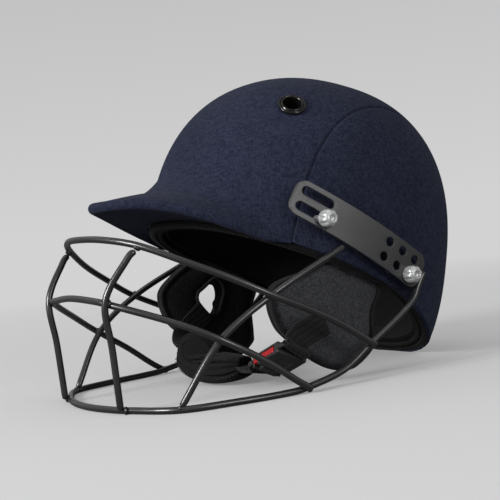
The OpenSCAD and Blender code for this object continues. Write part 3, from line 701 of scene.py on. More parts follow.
def puffed(obj, voxel, pressure, cap, pin=None):
    """Cloth simulation of a stuffed cover: the skin swells, and no point moves past the cap."""
    modifier(obj, "REMESH", mode="VOXEL", voxel_size=voxel * MM)
    rest = coordinates(obj.data)
    cloth = stuffed_cloth(obj, pressure, pin(rest) if pin else [])
    for step in range(1, PUFF_STEPS + 1):
        bpy.context.scene.frame_set(step)
    shape = obj.evaluated_get(bpy.context.evaluated_depsgraph_get()).data
    moved = coordinates(shape) - rest
    size = np.linalg.norm(moved, axis=1, keepdims=True)
    moved *= np.minimum(1, cap * MM / np.maximum(size, 1e-9))
    obj.modifiers.remove(cloth)
    move_to(obj.data, rest + moved)
    bpy.context.scene.frame_set(1)
    obj.vertex_groups.clear()
    modifier(obj, "SMOOTH", factor=0.5, iterations=3)
    modifier(obj, "SUBSURF", levels=1, render_levels=1)
    smooth(obj)


PUFF_STEPS = 20


def stuffed_cloth(obj, pressure, weights):
    """Cloth modifier blown up from inside, held where a corner has a weight."""
    cloth = obj.modifiers.new("cloth", "CLOTH")
    settings = cloth.settings
    settings.effector_weights.gravity = 0
    settings.use_pressure = True
    settings.uniform_pressure_force = pressure
    settings.tension_stiffness = 25
    settings.compression_stiffness = 25
    settings.bending_stiffness = 0.6
    settings.quality = 6
    if len(weights):
        group = obj.vertex_groups.new(name="held")
        for i, weight in enumerate(weights):
            if weight > 0:
                group.add([i], float(weight), "REPLACE")
        settings.vertex_group_mass = "held"
    cloth.point_cache.frame_start = 1
    cloth.point_cache.frame_end = PUFF_STEPS
    return cloth


# Materials

class Nodes:
    """Short calls for one node tree."""

    def __init__(self, tree):
        self.tree = tree

    def add(self, kind, inputs=None, **settings):
        node = self.tree.nodes.new(kind)
        for key, value in settings.items():
            setattr(node, key, value)
        for key, value in (inputs or {}).items():
            if isinstance(value, bpy.types.NodeSocket):
                self.tree.links.new(value, node.inputs[key])
            else:
                node.inputs[key].default_value = value
        return node

    def math(self, operation, a, b=0.0):
        return self.add("ShaderNodeMath", {0: a, 1: b}, operation=operation).outputs[0]

    def mix(self, factor, a, b):
        node = self.add("ShaderNodeMix", data_type="RGBA")
        for key, value in ((0, factor), (6, a), (7, b)):
            if isinstance(value, bpy.types.NodeSocket):
                self.tree.links.new(value, node.inputs[key])
            elif key == 0:
                node.inputs[key].default_value = value
            else:
                node.inputs[key].default_value = (*value[:3], 1)
        return node.outputs[2]

    def stretch(self, vector, scale):
        return self.add("ShaderNodeVectorMath", {0: vector, 1: scale},
                        operation="MULTIPLY").outputs[0]

    def noise(self, vector, scale, detail=2.0, rough=0.5):
        node = self.add("ShaderNodeTexNoise", {"Vector": vector, "Scale": scale,
                                               "Detail": detail, "Roughness": rough})
        return node.outputs["Fac"]

    def ramp(self, value, low, high, start=0.0, end=1.0):
        node = self.add("ShaderNodeMapRange", {"Value": value, "From Min": low, "From Max": high,
                                               "To Min": start, "To Max": end})
        return node.outputs["Result"]


def new_group(name, inputs, outputs):
    """A node group with its sockets, its short calls, its entry and its exit."""
    group = bpy.data.node_groups.new(name, "ShaderNodeTree")
    for way, sockets in (("INPUT", inputs), ("OUTPUT", outputs)):
        for key, kind, value in sockets:
            made = group.interface.new_socket(name=key, in_out=way, socket_type=kind)
            if value is not None:
                made.default_value = value
    nodes = Nodes(group)
    return group, nodes, nodes.add("NodeGroupInput"), nodes.add("NodeGroupOutput")


def weave_group():
    """Uneven threads crossing each other: a mask of lighter threads, a height and slow patches."""
    if "weave" in bpy.data.node_groups:
        return bpy.data.node_groups["weave"]
    group, n, entry, leave = new_group(
        "weave", [("Vector", "NodeSocketVector", None), ("Thread", "NodeSocketFloat", 0.0006),
                  ("Slub", "NodeSocketFloat", 9.0)],
        [("Threads", "NodeSocketFloat", None), ("Height", "NodeSocketFloat", None),
         ("Patches", "NodeSocketFloat", None)])
    rate = n.math("DIVIDE", 1.0, entry.outputs["Thread"])
    place = n.add("ShaderNodeVectorMath", {0: entry.outputs["Vector"], "Scale": rate},
                  operation="SCALE").outputs[0]
    slow = n.math("DIVIDE", 1.0, entry.outputs["Slub"])
    warp = n.add("ShaderNodeCombineXYZ", {"X": 1.0, "Y": 1.0, "Z": slow}).outputs[0]
    weft = n.add("ShaderNodeCombineXYZ", {"X": slow, "Y": slow, "Z": 1.0}).outputs[0]

    def crossed(scale):
        a = n.noise(n.stretch(place, warp), scale, 1.0)
        b = n.noise(n.stretch(place, weft), scale, 1.0)
        return n.math("MULTIPLY", n.math("ADD", a, b), 0.5)

    fine = crossed(0.75)
    slubs = crossed(0.28)
    mixed = n.math("ADD", n.math("MULTIPLY", fine, 0.75), n.math("MULTIPLY", slubs, 0.25))
    n.tree.links.new(n.ramp(mixed, 0.4, 0.6), leave.inputs["Threads"])
    cells = n.add("ShaderNodeSeparateXYZ", {0: place})
    x = n.math("SINE", n.math("MULTIPLY", cells.outputs["X"], pi))
    y = n.math("SINE", n.math("MULTIPLY", cells.outputs["Y"], pi))
    ribs = n.math("MULTIPLY", x, y)
    n.tree.links.new(n.math("ADD", n.math("MULTIPLY", ribs, 0.5), fine), leave.inputs["Height"])
    n.tree.links.new(n.noise(entry.outputs["Vector"], 14.0, 3.0), leave.inputs["Patches"])
    return group


def grain_group():
    """Fine even grain, for felt, foam, moulded plastic and powder coat, and slow patches."""
    if "grain" in bpy.data.node_groups:
        return bpy.data.node_groups["grain"]
    group, n, entry, leave = new_group(
        "grain", [("Vector", "NodeSocketVector", None), ("Size", "NodeSocketFloat", 0.001)],
        [("Grain", "NodeSocketFloat", None), ("Patches", "NodeSocketFloat", None)])
    rate = n.math("DIVIDE", 1.0, entry.outputs["Size"])
    n.tree.links.new(n.noise(entry.outputs["Vector"], rate, 2.0), leave.inputs["Grain"])
    n.tree.links.new(n.noise(entry.outputs["Vector"], 22.0, 3.0), leave.inputs["Patches"])
    return group


def finish_of(name, roughness, metallic=0.0, **sockets):
    """A material with a Principled BSDF; plain values are set on its own sockets."""
    mat = bpy.data.materials.new(name)
    mat.use_nodes = True
    mat.node_tree.nodes.clear()
    n = Nodes(mat.node_tree)
    shader = n.add("ShaderNodeBsdfPrincipled", {"Roughness": roughness, "Metallic": metallic})
    for key, value in sockets.items():
        shader.inputs[key.replace("_", " ")].default_value = value
    out = n.add("ShaderNodeOutputMaterial")
    n.tree.links.new(shader.outputs[0], out.inputs[0])
    mat.diffuse_color = (0.1, 0.1, 0.1, 1)
    return mat, n, shader


def bump(n, shader, height, distance, strength=1.0):
    node = n.add("ShaderNodeBump", {"Height": height, "Distance": distance, "Strength": strength})
    n.tree.links.new(node.outputs[0], shader.inputs["Normal"])


# Share by which slow patches lighten and darken a cloth
PATCHES = 0.12


def woven(name, dark, light, thread, roughness, rise=0.0002, sheen=0.25, slub=9.0,
          tint=(1, 1, 1), gloss=0.25):
    """Woven cloth of two thread colours."""
    name += "_finish"
    if name in bpy.data.materials:
        return bpy.data.materials[name]
    mat, n, shader = finish_of(name, roughness, Sheen_Weight=sheen, Sheen_Roughness=0.55,
                               Sheen_Tint=(*tint, 1), Specular_IOR_Level=gloss)
    group = n.add("ShaderNodeGroup", node_tree=weave_group())
    n.tree.links.new(n.add("ShaderNodeTexCoord").outputs["Object"], group.inputs["Vector"])
    group.inputs["Thread"].default_value = thread
    group.inputs["Slub"].default_value = slub
    cloth = n.mix(group.outputs["Threads"], dark, light)
    tone = n.ramp(group.outputs["Patches"], 0.3, 0.7, 1 - PATCHES, 1 + PATCHES)
    patchy = n.add("ShaderNodeCombineXYZ", {"X": tone, "Y": tone, "Z": tone}).outputs[0]
    n.tree.links.new(n.stretch(cloth, patchy), shader.inputs["Base Color"])
    bump(n, shader, group.outputs["Height"], rise)
    return mat


def grained(name, dark, light, size, roughness, rise, metallic=0.0, rough_swing=0.06, **sockets):
    """Felt, foam, plastic or metal with a fine grain and patches of unlike roughness."""
    name += "_finish"
    if name in bpy.data.materials:
        return bpy.data.materials[name]
    mat, n, shader = finish_of(name, roughness, metallic, **sockets)
    group = n.add("ShaderNodeGroup", node_tree=grain_group())
    n.tree.links.new(n.add("ShaderNodeTexCoord").outputs["Object"], group.inputs["Vector"])
    group.inputs["Size"].default_value = size
    mask = n.math("MULTIPLY", n.math("ADD", group.outputs["Grain"], group.outputs["Patches"]), 0.5)
    n.tree.links.new(n.mix(n.ramp(mask, 0.35, 0.65), dark, light), shader.inputs["Base Color"])
    rough = n.ramp(group.outputs["Patches"], 0.3, 0.7, roughness - rough_swing,
                   roughness + rough_swing)
    n.tree.links.new(rough, shader.inputs["Roughness"])
    bump(n, shader, group.outputs["Grain"], rise)
    return mat


def shade(colour, factor):
    return tuple(c * factor for c in colour)


def between(colour, low, high):
    """A darker and a lighter shade of one colour."""
    return shade(colour, low), shade(colour, high)


def navy_cloth():
    c = colours()
    return woven("navy_cloth", c.cloth, c.cloth_light, sizes().thread, 0.9, 0.00022, 0.03,
                 slub=3.0, tint=(0.8, 0.85, 1.0), gloss=0.1)


def felt():
    return grained("grey_felt", *between(colours().felt, 0.45, 1.7), 0.0009, 0.95, 0.0005,
                   Sheen_Weight=0.04, Sheen_Roughness=0.6, Specular_IOR_Level=0.1)


# The pads and the far flap get this lighter copy of the padding colour: painted light for the shade they
# sit in.
def black_padding():
    return woven("black_padding", *between(colours().padding, 0.7, 1.6), 0.0011, 0.9,
                 sheen=0.12, slub=2.5)


# A darker copy of the same padding for the chin cup and its lobe: painted shade against the stronger light
# that falls on the cup.
def cup_cloth():
    return woven("cup_cloth", *between(colours().padding, 0.3, 0.75), 0.0011, 0.85,
                 sheen=0.05, slub=2.5)


def heather_padding():
    return woven("heather_padding", *between(colours().heather, 1.5, 4.4), 0.0007, 0.9,
                 sheen=0.2, slub=2.0, tint=(0.9, 0.9, 1.0))


def binding_cloth():
    return woven("binding_cloth", *between(colours().padding, 0.7, 1.7), 0.0008, 0.8,
                 0.00015, 0.1, slub=3.0)


# The chin straps' webbing: its lie in the part, and the width of its ribs and wales
WEBBING_LENGTHWAYS = (0.0, 0.91, 0.41)
WEBBING_CROSSWAYS = (0.6, -0.33, 0.73)
RIB = 0.0023
WALE = 0.0034


def webbing():
    name = "black_webbing_finish"
    if name in bpy.data.materials:
        return bpy.data.materials[name]
    mat, n, shader = finish_of(name, 0.72, Specular_IOR_Level=0.35, Sheen_Weight=0.1)
    where = n.add("ShaderNodeTexCoord").outputs["Object"]

    def waves(way, width):
        along = n.add("ShaderNodeVectorMath", {0: where, 1: way}, operation="DOT_PRODUCT")
        return n.math("SINE", n.math("MULTIPLY", along.outputs["Value"], 2 * pi / width))

    ribs = n.math("MULTIPLY", waves(WEBBING_LENGTHWAYS, RIB), 0.6)
    wales = n.math("MULTIPLY", waves(WEBBING_CROSSWAYS, WALE), 0.4)
    weave = n.math("ADD", ribs, wales)
    # The colour follows the ribs' and wales' height: painted shade in the grooves and painted light on the
    # crests.
    dark, light = between(colours().padding, 0.5, 1.6)
    n.tree.links.new(n.mix(n.ramp(weave, -1, 1), dark, light), shader.inputs["Base Color"])
    bump(n, shader, weave, 0.0004)
    return mat


def thread_finish():
    return grained("sewing_thread", *between(colours().padding, 1.2, 3.0), 0.0006, 0.6, 0.00005)


def foam_finish():
    return grained("liner_foam", *between(colours().padding, 1.0, 2.2), 0.0012, 0.92, 0.0003,
                   Specular_IOR_Level=0.2)


def coated(name="coated_steel", roughness=0.3, lift=0.75, coat=0.2):
    return grained(name, *between(colours().coating, 0.8 * lift, 1.15 * lift), 0.0009, roughness,
                   0.00002, rough_swing=0.04, Specular_IOR_Level=1.0, Coat_Weight=coat,
                   Coat_Roughness=0.1)


def coated_plate():
    return coated("coated_plate", 0.45, 1.7, 0.0)


def zinc():
    return grained("bright_zinc", *between(colours().zinc, 0.9, 1.0), 0.004, 0.42, 0.000002, 0.6,
                   rough_swing=0.05)


def dark_metal():
    return grained("dark_metal", (0.008, 0.008, 0.0075), (0.018, 0.017, 0.015), 0.002, 0.24,
                   0.00001, 0.5, rough_swing=0.05, Coat_Weight=0.3, Coat_Roughness=0.14)


def shell_plastic():
    return grained("shell_plastic", (0.02, 0.021, 0.023), (0.032, 0.033, 0.035), 0.0008, 0.5,
                   0.00005)


def buckle_plastic():
    return grained("buckle_plastic", (0.024, 0.024, 0.025), (0.034, 0.034, 0.036), 0.0007, 0.42,
                   0.00006, Specular_IOR_Level=0.5)


def red_plastic():
    return grained("red_plastic", *between(colours().red, 0.85, 1.0), 0.0011, 0.38, 0.00004)


def dress(obj, mat, slot, body="helmet", *nodes):
    """Gives a piece its finish and the body it belongs to, and hides the nodes it stands for; the slot is
    not used.
    """
    obj.data.materials.clear()
    obj.data.materials.append(mat)
    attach(obj, body)
    if nodes:
        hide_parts(*nodes)


# Cloth cover

def vent_frames():
    """Local frames of the two vents: z out of the shell."""
    start = np.array([VENT_OFFSET, EAR[1] - VENT_AHEAD, 60.0])
    up = np.array([0.0, 0.0, 1.0])
    point = meet(start, up, 0.0, 50.0)
    across = meet(start + [1, 0, 0], up, 0.0, 50.0) - point
    along = meet(start + [0, 1, 0], up, 0.0, 50.0) - point
    normal = unit(np.cross(across, along))
    for side in (1, -1):
        flip = np.array([side, 1, 1])
        n = normal * flip
        x = unit(np.cross([0.0, 1.0, 0.0], n))
        yield part_matrix([x, np.cross(n, x), n], point * flip)


def vent_cutters(radius, low=-40.0, high=20.0):
    tools = []
    for m in vent_frames():
        tool = rod("vent_tool", (0, 0, low), (0, 0, high), radius, 40)
        placed(tool, m)
        tools.append(tool)
    return tools


def peak_profile(angle):
    """Section of the peak at one angle: its top, its rounded tip and its underside."""
    turn = angle - 90
    fade = peak_fade(abs(angle))
    root = PEAK_ROOT * fade ** 0.4
    tip = -1 - (PEAK_DROOP - 1) * fade ** 5
    swell = min(PEAK_EDGE / 2, max(0.4, root / 2 + 0.5))
    edge = max(0.2, PEAK_REACH * fade - swell)
    wall = rim_radius(turn, max(0.0, root))
    rim = rim_radius(turn, 0.0)
    top = [(wall * (1 - s) + (rim + edge) * s, root + (tip + swell - root) * s ** 1.2)
           for s in np.linspace(0, 1, 17)[:-1]]
    nose = [(rim + edge + swell * cos(w), tip + swell * sin(w))
            for w in np.radians(np.linspace(90, -90, 11))]
    under = [(rim + edge * (1 - s), (tip - swell) * (1 - s)) for s in np.linspace(0, 1, 15)[1:]]
    t = radians(turn)

    def place(points):
        return np.array([EAR + [r * cos(t), r * sin(t), h] for r, h in points])
    return place(top), place(nose), place(under)


def front_arc(lean):
    """Arc at which the dome starts over the peak, on the line of one lean."""
    height = PEAK_ROOT * peak_fade(abs(lean)) ** 0.4
    if height <= 0.5:
        return 0.0
    rise = radians(rise_of_height(abs(lean) - 90, height + 0.3))
    return degrees(asin(min(1.0, max(0.0, sin(rise) / cos(radians(lean))))))


def eased_root(line, corner, spread):
    """Rounds the hollow corner where the dome meets the peak."""
    line = line.copy()
    far = lengths_along(line)
    weight = np.exp(-((far - far[corner]) / spread) ** 2)[:, None]
    for _ in range(60):
        middle = (np.roll(line, 1, 0) + np.roll(line, -1, 0)) / 2
        step = (middle - line) * weight * 0.6
        step[0] = step[-1] = 0
        line += step
    return line


DOME_ROWS = 92


def dome_net():
    """Net from the nape over the crown, down to the peak, round its tip and back to the rim."""
    hem = [side * (1 - f) for f in (0.003, 0.008, 0.015, 0.025) for side in (1, -1)]
    columns = []
    for share in sorted({*np.round(np.linspace(-1, 1, 97), 5), *hem}):
        front_lean = share * (seam(0) - SEAM_GAP)
        first_arc = front_arc(front_lean)
        ways = []
        for t in np.linspace(1, 0, DOME_ROWS):
            lean = share * (seam(180 * t) - SEAM_GAP)
            ways.append(swept(first_arc * (1 - t) + nape_arc(lean) * t, lean))
        dome = meet(EAR, np.array(ways), 0.0)
        top, nose, under = peak_profile(front_lean)
        if abs(front_lean) >= PEAK_HALF_ANGLE - 0.01:
            top = np.linspace(dome[-1], nose[0], 17)[:-1]
        slope = resampled(np.concatenate([dome[-1:], top[1:], nose[:1]]), 18)
        line = np.concatenate([dome[:-1], slope[:-1], nose, under])
        size = PEAK_REACH * peak_fade(abs(front_lean))
        columns.append(eased_root(line, DOME_ROWS - 1, 1.0 + 0.16 * size))
    return np.stack(columns, 1)


def dip_at_seams(net, distance, depth):
    """Sinks the cloth where it turns in at a seam."""
    inward = unit(DOME_CENTRE + [0, 0, 15] - net)
    sink = depth * np.exp(-(distance / SEAM_SPREAD) ** 2)
    return net + inward * sink[..., None]


HEM = ((0.0, 1.0), (0.05, 2.0), (0.2, 2.9), (0.6, 3.6), (1.2, 4.0), (2.2, 4.15), (3.2, 4.15))


def hemmed(net, first):
    """Rolls the cloth under at the rim; the hem's rows go before the first or after the last."""
    edge = net[0] if first else net[-1]
    inward = unit((EAR - edge) * [1, 1, 0])
    deep = np.clip((edge[:, 1:2] + 50) / 60, 0.1, 1)
    rows = [edge + inward * (a + 0.6 * b * (1 - deep)) + [0, 0, -1] * (b * deep)
            for a, b in HEM]
    if first:
        return np.concatenate([np.array(rows[::-1]), net])
    return np.concatenate([net, np.array(rows)])


def make_cloth(name, net, tools, *nodes):
    """Cloth stretched over the shell, with its flat size measured along the net."""
    u, v = lengths(net)
    width, length = float(np.max(u[:, -1])), float(np.max(v[-1]))
    obj = sheet_from(name, net)
    face_away(obj, DOME_CENTRE + [0, 0, 10])
    modifier(obj, "SOLIDIFY", thickness=sizes().cloth_thickness, offset=-1)
    cut(obj, tools)
    smooth(obj, 60)
    dress(obj, navy_cloth(), "navy_cloth", "helmet", *nodes)


def make_dome_cloth():
    net = dome_net()
    u = lengths(net)[0]
    distance = np.minimum(u, u[:, -1:] - u) / MM
    depth = np.full(len(net), sizes().seam_depth / MM)
    fading = len(net) - DOME_ROWS - 3
    depth[-fading:] *= np.linspace(1, 0, fading)
    net = hemmed(dip_at_seams(net, distance, depth[:, None]), True)
    make_cloth("dome_cloth", net, vent_cutters(VENT_CLEARANCE, -10), "front_cover", "peak_cover")


def make_side_cloth(side):
    down = np.concatenate([[0, 0.006, 0.014, 0.026, 0.045], np.linspace(0.07, 1, 44)])
    rim_front = seam(0) + SEAM_GAP - 90
    rim_back = 90 - SEAM_BACK - SEAM_GAP
    net = []
    for t in np.linspace(0, 1, 91):
        lean = seam(180 * t) + SEAM_GAP
        start = swept(nape_arc(lean) * t, lean)
        turn = rim_front + (rim_back - rim_front) * t
        end = heading(turn, float(rim_rise(turn)))
        angle = acos(min(1.0, float(np.dot(start, end))))
        if angle < 1e-4:
            ways = np.repeat(end[None], len(down), 0)
        else:
            ways = (np.sin((1 - down) * angle)[:, None] * start
                    + np.sin(down * angle)[:, None] * end) / sin(angle)
        net.append(meet(EAR, ways, 0.0))
    net = np.array(net)
    net = dip_at_seams(net, lengths(net)[0] / MM, sizes().seam_depth / MM)
    net = hemmed(np.transpose(net, (1, 0, 2)), False)
    if side < 0:
        net = mirrored(net)
    tools = []
    for place, radius in ((SCREW_PLACE, SCREW_CLEARANCE), (BOLT_PLACE, INSERT_CLEARANCE)):
        tool = rod("side_tool", (0, 0, 60), (0, 0, 130), radius, 32)
        placed(tool, plate_matrix(place, side))
        tools.append(tool)
    label = side_name(side)
    make_cloth("side_cloth_" + label, net, tools, "side_cover_" + label)


def side_name(side):
    return "left" if side > 0 else "right"


# Sections of the felt binding and of the lining's edge inside it: layer of the shell, and height
BINDING_PROFILE = [
    (-1.5, -1.2), (-1.2, -2.2), (-1.3, -3.2), (-2.0, -3.9), (-3.6, -4.1), (-5.2, -4.1), (-6.6, -3.8),
    (-7.2, -3.1), (-7.2, -1.6), (-6.4, -0.7), (-4.0, -0.5), (-2.2, -0.6), (-1.5, -1.2)]
LINING_PROFILE = [
    (-7.3, -1.2), (-7.3, -2.6), (-7.9, -3.3), (-9.4, -3.5), (-11.0, -3.2), (-11.8, -2.4),
    (-11.8, -1.4), (-11.0, -0.7), (-9.0, -0.5), (-7.9, -0.6), (-7.3, -1.2)]


def make_rim_binding():
    turns = np.linspace(0, 360, 241)
    for name, profile, mat in (("rim_binding", BINDING_PROFILE, felt()),
                               ("lining_edge", LINING_PROFILE, foam_finish())):
        net = closed_net([on_shell(turns, rim_rise(turns % 360), layer) + [0, 0, drop]
                          for layer, drop in profile])
        obj = sheet_from(name, net, closed=True)
        smooth(obj)
        dress(obj, mat, "grey_felt", "helmet", "rim_trim")
    path = on_shell(turns, rim_rise(turns % 360), -6.3) + [0, 0, -3.9]
    row = stitches("rim_stitching", path, [np.array([0.0, 0.0, -1.0])], 3.4, 0.1, 0.3)
    dress(row, thread_finish(), "grey_felt")


def make_liner():
    turns = np.linspace(0, 360, 121)
    low = rim_rise(turns % 360) + 0.4
    rises = [low + (90 - low) * s for s in np.linspace(0, 1, 30)]
    outer = [on_shell(turns, rise, LINER_OUTSIDE) for rise in rises]
    inner = [on_shell(turns, rise, LINER_INSIDE) for rise in rises]
    obj = sheet_from("liner_shell", closed_net(outer[::-1] + inner + outer[:1]), closed=True)
    cut(obj, vent_cutters(9.5))
    smooth(obj, 40)
    dress(obj, foam_finish(), "liner_foam", "helmet", "foam_liner")


# Comfort pads: name, node, turn and rise of the middle, and half sizes, in degrees
COMFORT_PADS = [
    ("brow", "brow_pad", -90, 19, 42, 11), ("side_left", "side_pad_left", 0, 34, 24, 15),
    ("side_right", "side_pad_right", 180, 34, 24, 15), ("nape", "nape_pad", 90, 16, 40, 12)]
# Section of a pad from the middle of its outer face to its inner one: share of its size, and depth
PAD_PROFILE = [
    (0.0, 0), (0.35, 0), (0.68, 0), (0.9, 0.02), (0.985, 0.16), (1, 0.36), (0.985, 0.56),
    (0.93, 0.76), (0.8, 0.92), (0.6, 0.98), (0.35, 1), (0.0, 1)]
CROWN_PROFILE = [
    (0.0, 0), (0.35, 0), (0.7, 0), (0.93, 0.03), (1, 0.35), (0.95, 0.7), (0.75, 0.93), (0.35, 1),
    (0.0, 1)]
CROWN_RADIUS = 30


def make_pad(name, node, net):
    obj = sheet_from(name, net, closed=True)
    puffed(obj, 4.5, 1.5, 1.2)
    dress(obj, black_padding(), "black_padding", "helmet", node)


def make_comfort_pads():
    w = np.linspace(0, 2 * pi, 73)
    for name, node, turn, rise, half_turn, half_rise in COMFORT_PADS:
        def ring(share, where, layer):
            a, b = squarish(where, PAD_SQUARENESS)
            return on_shell(turn + half_turn * share * a, rise + half_rise * share * b, layer)

        make_pad(name + "_padding", node, closed_net(
            [ring(share, w, PAD_OUTSIDE - CORE_THICKNESS * depth) for share, depth in PAD_PROFILE]))
        path = ring(0.99, np.linspace(0, 2 * pi, 145), PAD_OUTSIDE - 0.3 * COMFORT_THICKNESS)
        cord = tube(name + "_pad_piping", path[:-1], 0.9, closed=True)
        dress(cord, binding_cloth(), "black_padding")
    make_pad("crown_padding", "crown_pad", closed_net(
        [on_shell(np.degrees(w), 90 - CROWN_RADIUS * share, PAD_OUTSIDE - CORE_THICKNESS * depth)
         for share, depth in CROWN_PROFILE]))


# Section of a vent's two rolled rings and their sleeve: radius and height
EYELET_PROFILE = [
    (7.5, -4.9), (7.5, 0.0), (9.6, 0.0), (9.9, 0.1), (10.25, 0.5), (10.4, 1.0), (10.25, 1.6),
    (9.8, 2.05), (9.3, 2.15), (8.8, 1.9), (8.5, 1.65), (8.25, 1.8), (7.95, 2.4), (7.55, 2.8),
    (7.1, 2.85), (6.75, 2.5), (6.55, 2.0), (6.5, 1.4), (6.5, -4.9), (7.5, -4.9)]


def make_vent_eyelets():
    parts = []
    for m in vent_frames():
        ring = lathe("eyelet", EYELET_PROFILE, 96)
        placed(ring, m)
        parts.append(ring)
    obj = joined("vent_eyelets", parts)
    smooth(obj, 50)
    dress(obj, dark_metal(), "dark_metal", "helmet", "vent_rings")


# Ear flaps

FLAP_OUTLINE = [(-43, 1.5), (-63, -16.3), (-83, -33), (-82, -46), (-71, -58.4), (-58, -64.2),
                (-37, -70.8), (-15, -73), (2, -67.9), (13, -52), (12, -44), (4, -23), (3, -4),
                (-18, 1.5)]
FAR_FLAP_CORNER = [(-50, 1.5), (-67, -8)]
FLAP_MIDDLE = (-36.0, -38.0)
FLAP_PROFILE = [
    (0.0, 0.03), (0.3, 0.03), (0.6, 0.035), (0.8, 0.06), (0.9, 0.12), (0.965, 0.24), (0.985, 0.5),
    (0.965, 0.76), (0.9, 0.88), (0.8, 0.94), (0.6, 0.965), (0.3, 0.97), (0.0, 0.97)]
EAR_HOLE = [(-39, -12), (-29, -19), (-31, -41), (-47, -36), (-51, -29), (-47, -22)]


def flap_outline(steps, side):
    flat = [(0.0, y, z) for y, z in FLAP_OUTLINE]
    if side < 0:
        flat[:2] = [(0.0, y, z) for y, z in FAR_FLAP_CORNER]
    line = spline(flat, steps, closed=True)[:, 1:]
    line[:, 1] = np.minimum(line[:, 1], FLAP_TOP)
    return line


def flap_line(line, share, depth, top=FLAP_TOP):
    """A flap's outline drawn in towards its middle by a share, kept below a height."""
    y = FLAP_MIDDLE[0] + (line[:, 0] - FLAP_MIDDLE[0]) * share
    z = np.minimum(top, FLAP_MIDDLE[1] + (line[:, 1] - FLAP_MIDDLE[1]) * share)
    return flap_point(y, z, depth)


def flap_point(y, z, depth):
    """Level point of a flap: depth runs from 0 on its outer face to 1 on its inner face."""
    y, z = np.broadcast_arrays(y, z)
    return np.stack([FLAP_OFFSET + FLAP_LEAN * z - FLAP_THICKNESS * depth, y, z], -1)


def flap_body(name, side):
    line = flap_outline(8, side)
    line = np.concatenate([line, line[:1]])
    net = [flap_line(line, share, 0.5 + (depth - 0.5) * 0.88, FLAP_TOP - 0.3)
           for share, depth in FLAP_PROFILE]
    return sheet_from(name, np.array(net), closed=True)


def cut_ear_hole(obj, hole):
    clear_selection()
    bpy.ops.mesh.primitive_circle_add(vertices=len(hole), radius=1, fill_type="NGON")
    tool = bpy.context.object
    move_to(tool.data, to_part(flap_point(hole[:, 0], hole[:, 1], 1.5)))
    edit_all(tool, lambda: bpy.ops.mesh.extrude_region_move(
        TRANSFORM_OT_translate={"value": (2 * FLAP_THICKNESS * MM, 0, 0)}), outward)
    cut(obj, [tool])


def make_ear_flap(side):
    """Both flaps are made on the left; the right one has the ear hole, and is mirrored last."""
    label = side_name(side)
    obj = flap_body("flap_%s_pad" % label, side)
    hole = spline([(0.0, y, z) for y, z in EAR_HOLE], 8, closed=True)[:, 1:]
    if side < 0:
        cut_ear_hole(obj, hole)

    def held(rest):
        edge = flap_outline(4, side)
        rim = to_part(flap_point(edge[:, 0], edge[:, 1], 0.5))
        flat = rest[:, None, 1:] - rim[None, :, 1:]
        near = np.sqrt((flat ** 2).sum(-1)).min(1)
        return np.clip(1.4 - near / 0.006, 0, 1)

    puffed(obj, 4.0, 3.0, 2.2, held)
    line = flap_outline(10, side)
    thick = sizes().piping_radius / MM
    cords = [tube("cord", flap_line(line, inset, depth, FLAP_TOP - 1.4), thick, closed=True)
             for depth, inset in ((0.30, 0.97), (0.5, 0.955), (0.70, 0.97))]
    if side < 0:
        middle = hole.mean(0)
        ring = middle + (hole - middle) * 1.09
        cords += [tube("cord", flap_point(ring[:, 0], ring[:, 1], depth), 1.5, closed=True)
                  for depth in (0.08, 0.92)]
    piping = joined("flap_%s_piping" % label, cords)
    seam_line = flap_line(line, 0.88, 0.09)
    row = stitches("flap_%s_stitching" % label, np.concatenate([seam_line, seam_line[:1]]),
                   [np.array([1.0, 0.0, 0.0])], 3.2, 0.25, 0.28)
    if side < 0:
        for piece in (obj, piping, row):
            placed(piece, Matrix.Diagonal((-1, 1, 1, 1)))
    mat = heather_padding() if side > 0 else black_padding()
    dress(obj, mat, "charcoal_padding", "helmet", "ear_flap_" + label)
    dress(piping, binding_cloth(), "black_padding")
    dress(row, thread_finish(), "black_padding")


# Chin strap

LEVEL_BACK = (0.0, cos(TILT), sin(TILT))
FLAP_WAY = (0, 0.8, -0.6)
STRAP_DEPTH = WEBBING_THICKNESS / 2 + 0.5
CUP_PATH = [(26, -50.5, -85), (14, -53.5, -88), (-2, -56, -89.5), (-18, -59, -89),
            (-34, -61.5, -85.5), (-46, -63, -79)]
CUP_HALF_WIDTH = 14.5
CUP_HALF_HEIGHT = 11.4
CUP_FOLDS = (-0.3, 0.08, 0.42, 0.74)
LOBE_SIZE = (17.5, 13.0, 6.0)


def loop_path(bar, start, end):
    """Webbing's middle line round a bar of the buckle, between two angles in its frame."""
    return np.array([in_buckle(bar + LOOP_MIDDLE * cos(w), 0, LOOP_MIDDLE * sin(w))
                     for w in np.radians(np.linspace(start, end, 25))])


def make_webbing(name, node, path, first, last):
    obj = ribbon(name, path, first, last)
    dress(obj, webbing(), "black_webbing", "helmet", node)
    return obj


def make_strap_left():
    outer = FLAP_OFFSET + STRAP_DEPTH
    lead = spline([
        (outer + FLAP_LEAN * -44, -37, -44), (outer + FLAP_LEAN * -53, -46, -53),
        (outer + FLAP_LEAN * -61, -53.5, -61), (outer + FLAP_LEAN * -66 + 0.4, -56, -66.5),
        in_buckle(REAR_BAR, 0, LOOP_MIDDLE)], 6)
    path = np.concatenate([lead, loop_path(REAR_BAR, 90, -255)[1:]])
    make_webbing("strap_left_webbing", "strap_left", path, FLAP_WAY, (0, 1, 0))
    rows = []
    for k in (4, 12):
        t = tangents(path)[k]
        wide = unit(np.cross(np.cross(t, FLAP_WAY), t)) * 8.5
        line = resampled([path[k] - wide, path[k] + wide], 12)
        rows.append(stitches("row", line, [np.array([1.0, 0, 0])], 2.9, 0.95))
    dress(joined("strap_left_stitching", rows), thread_finish(), "black_webbing")


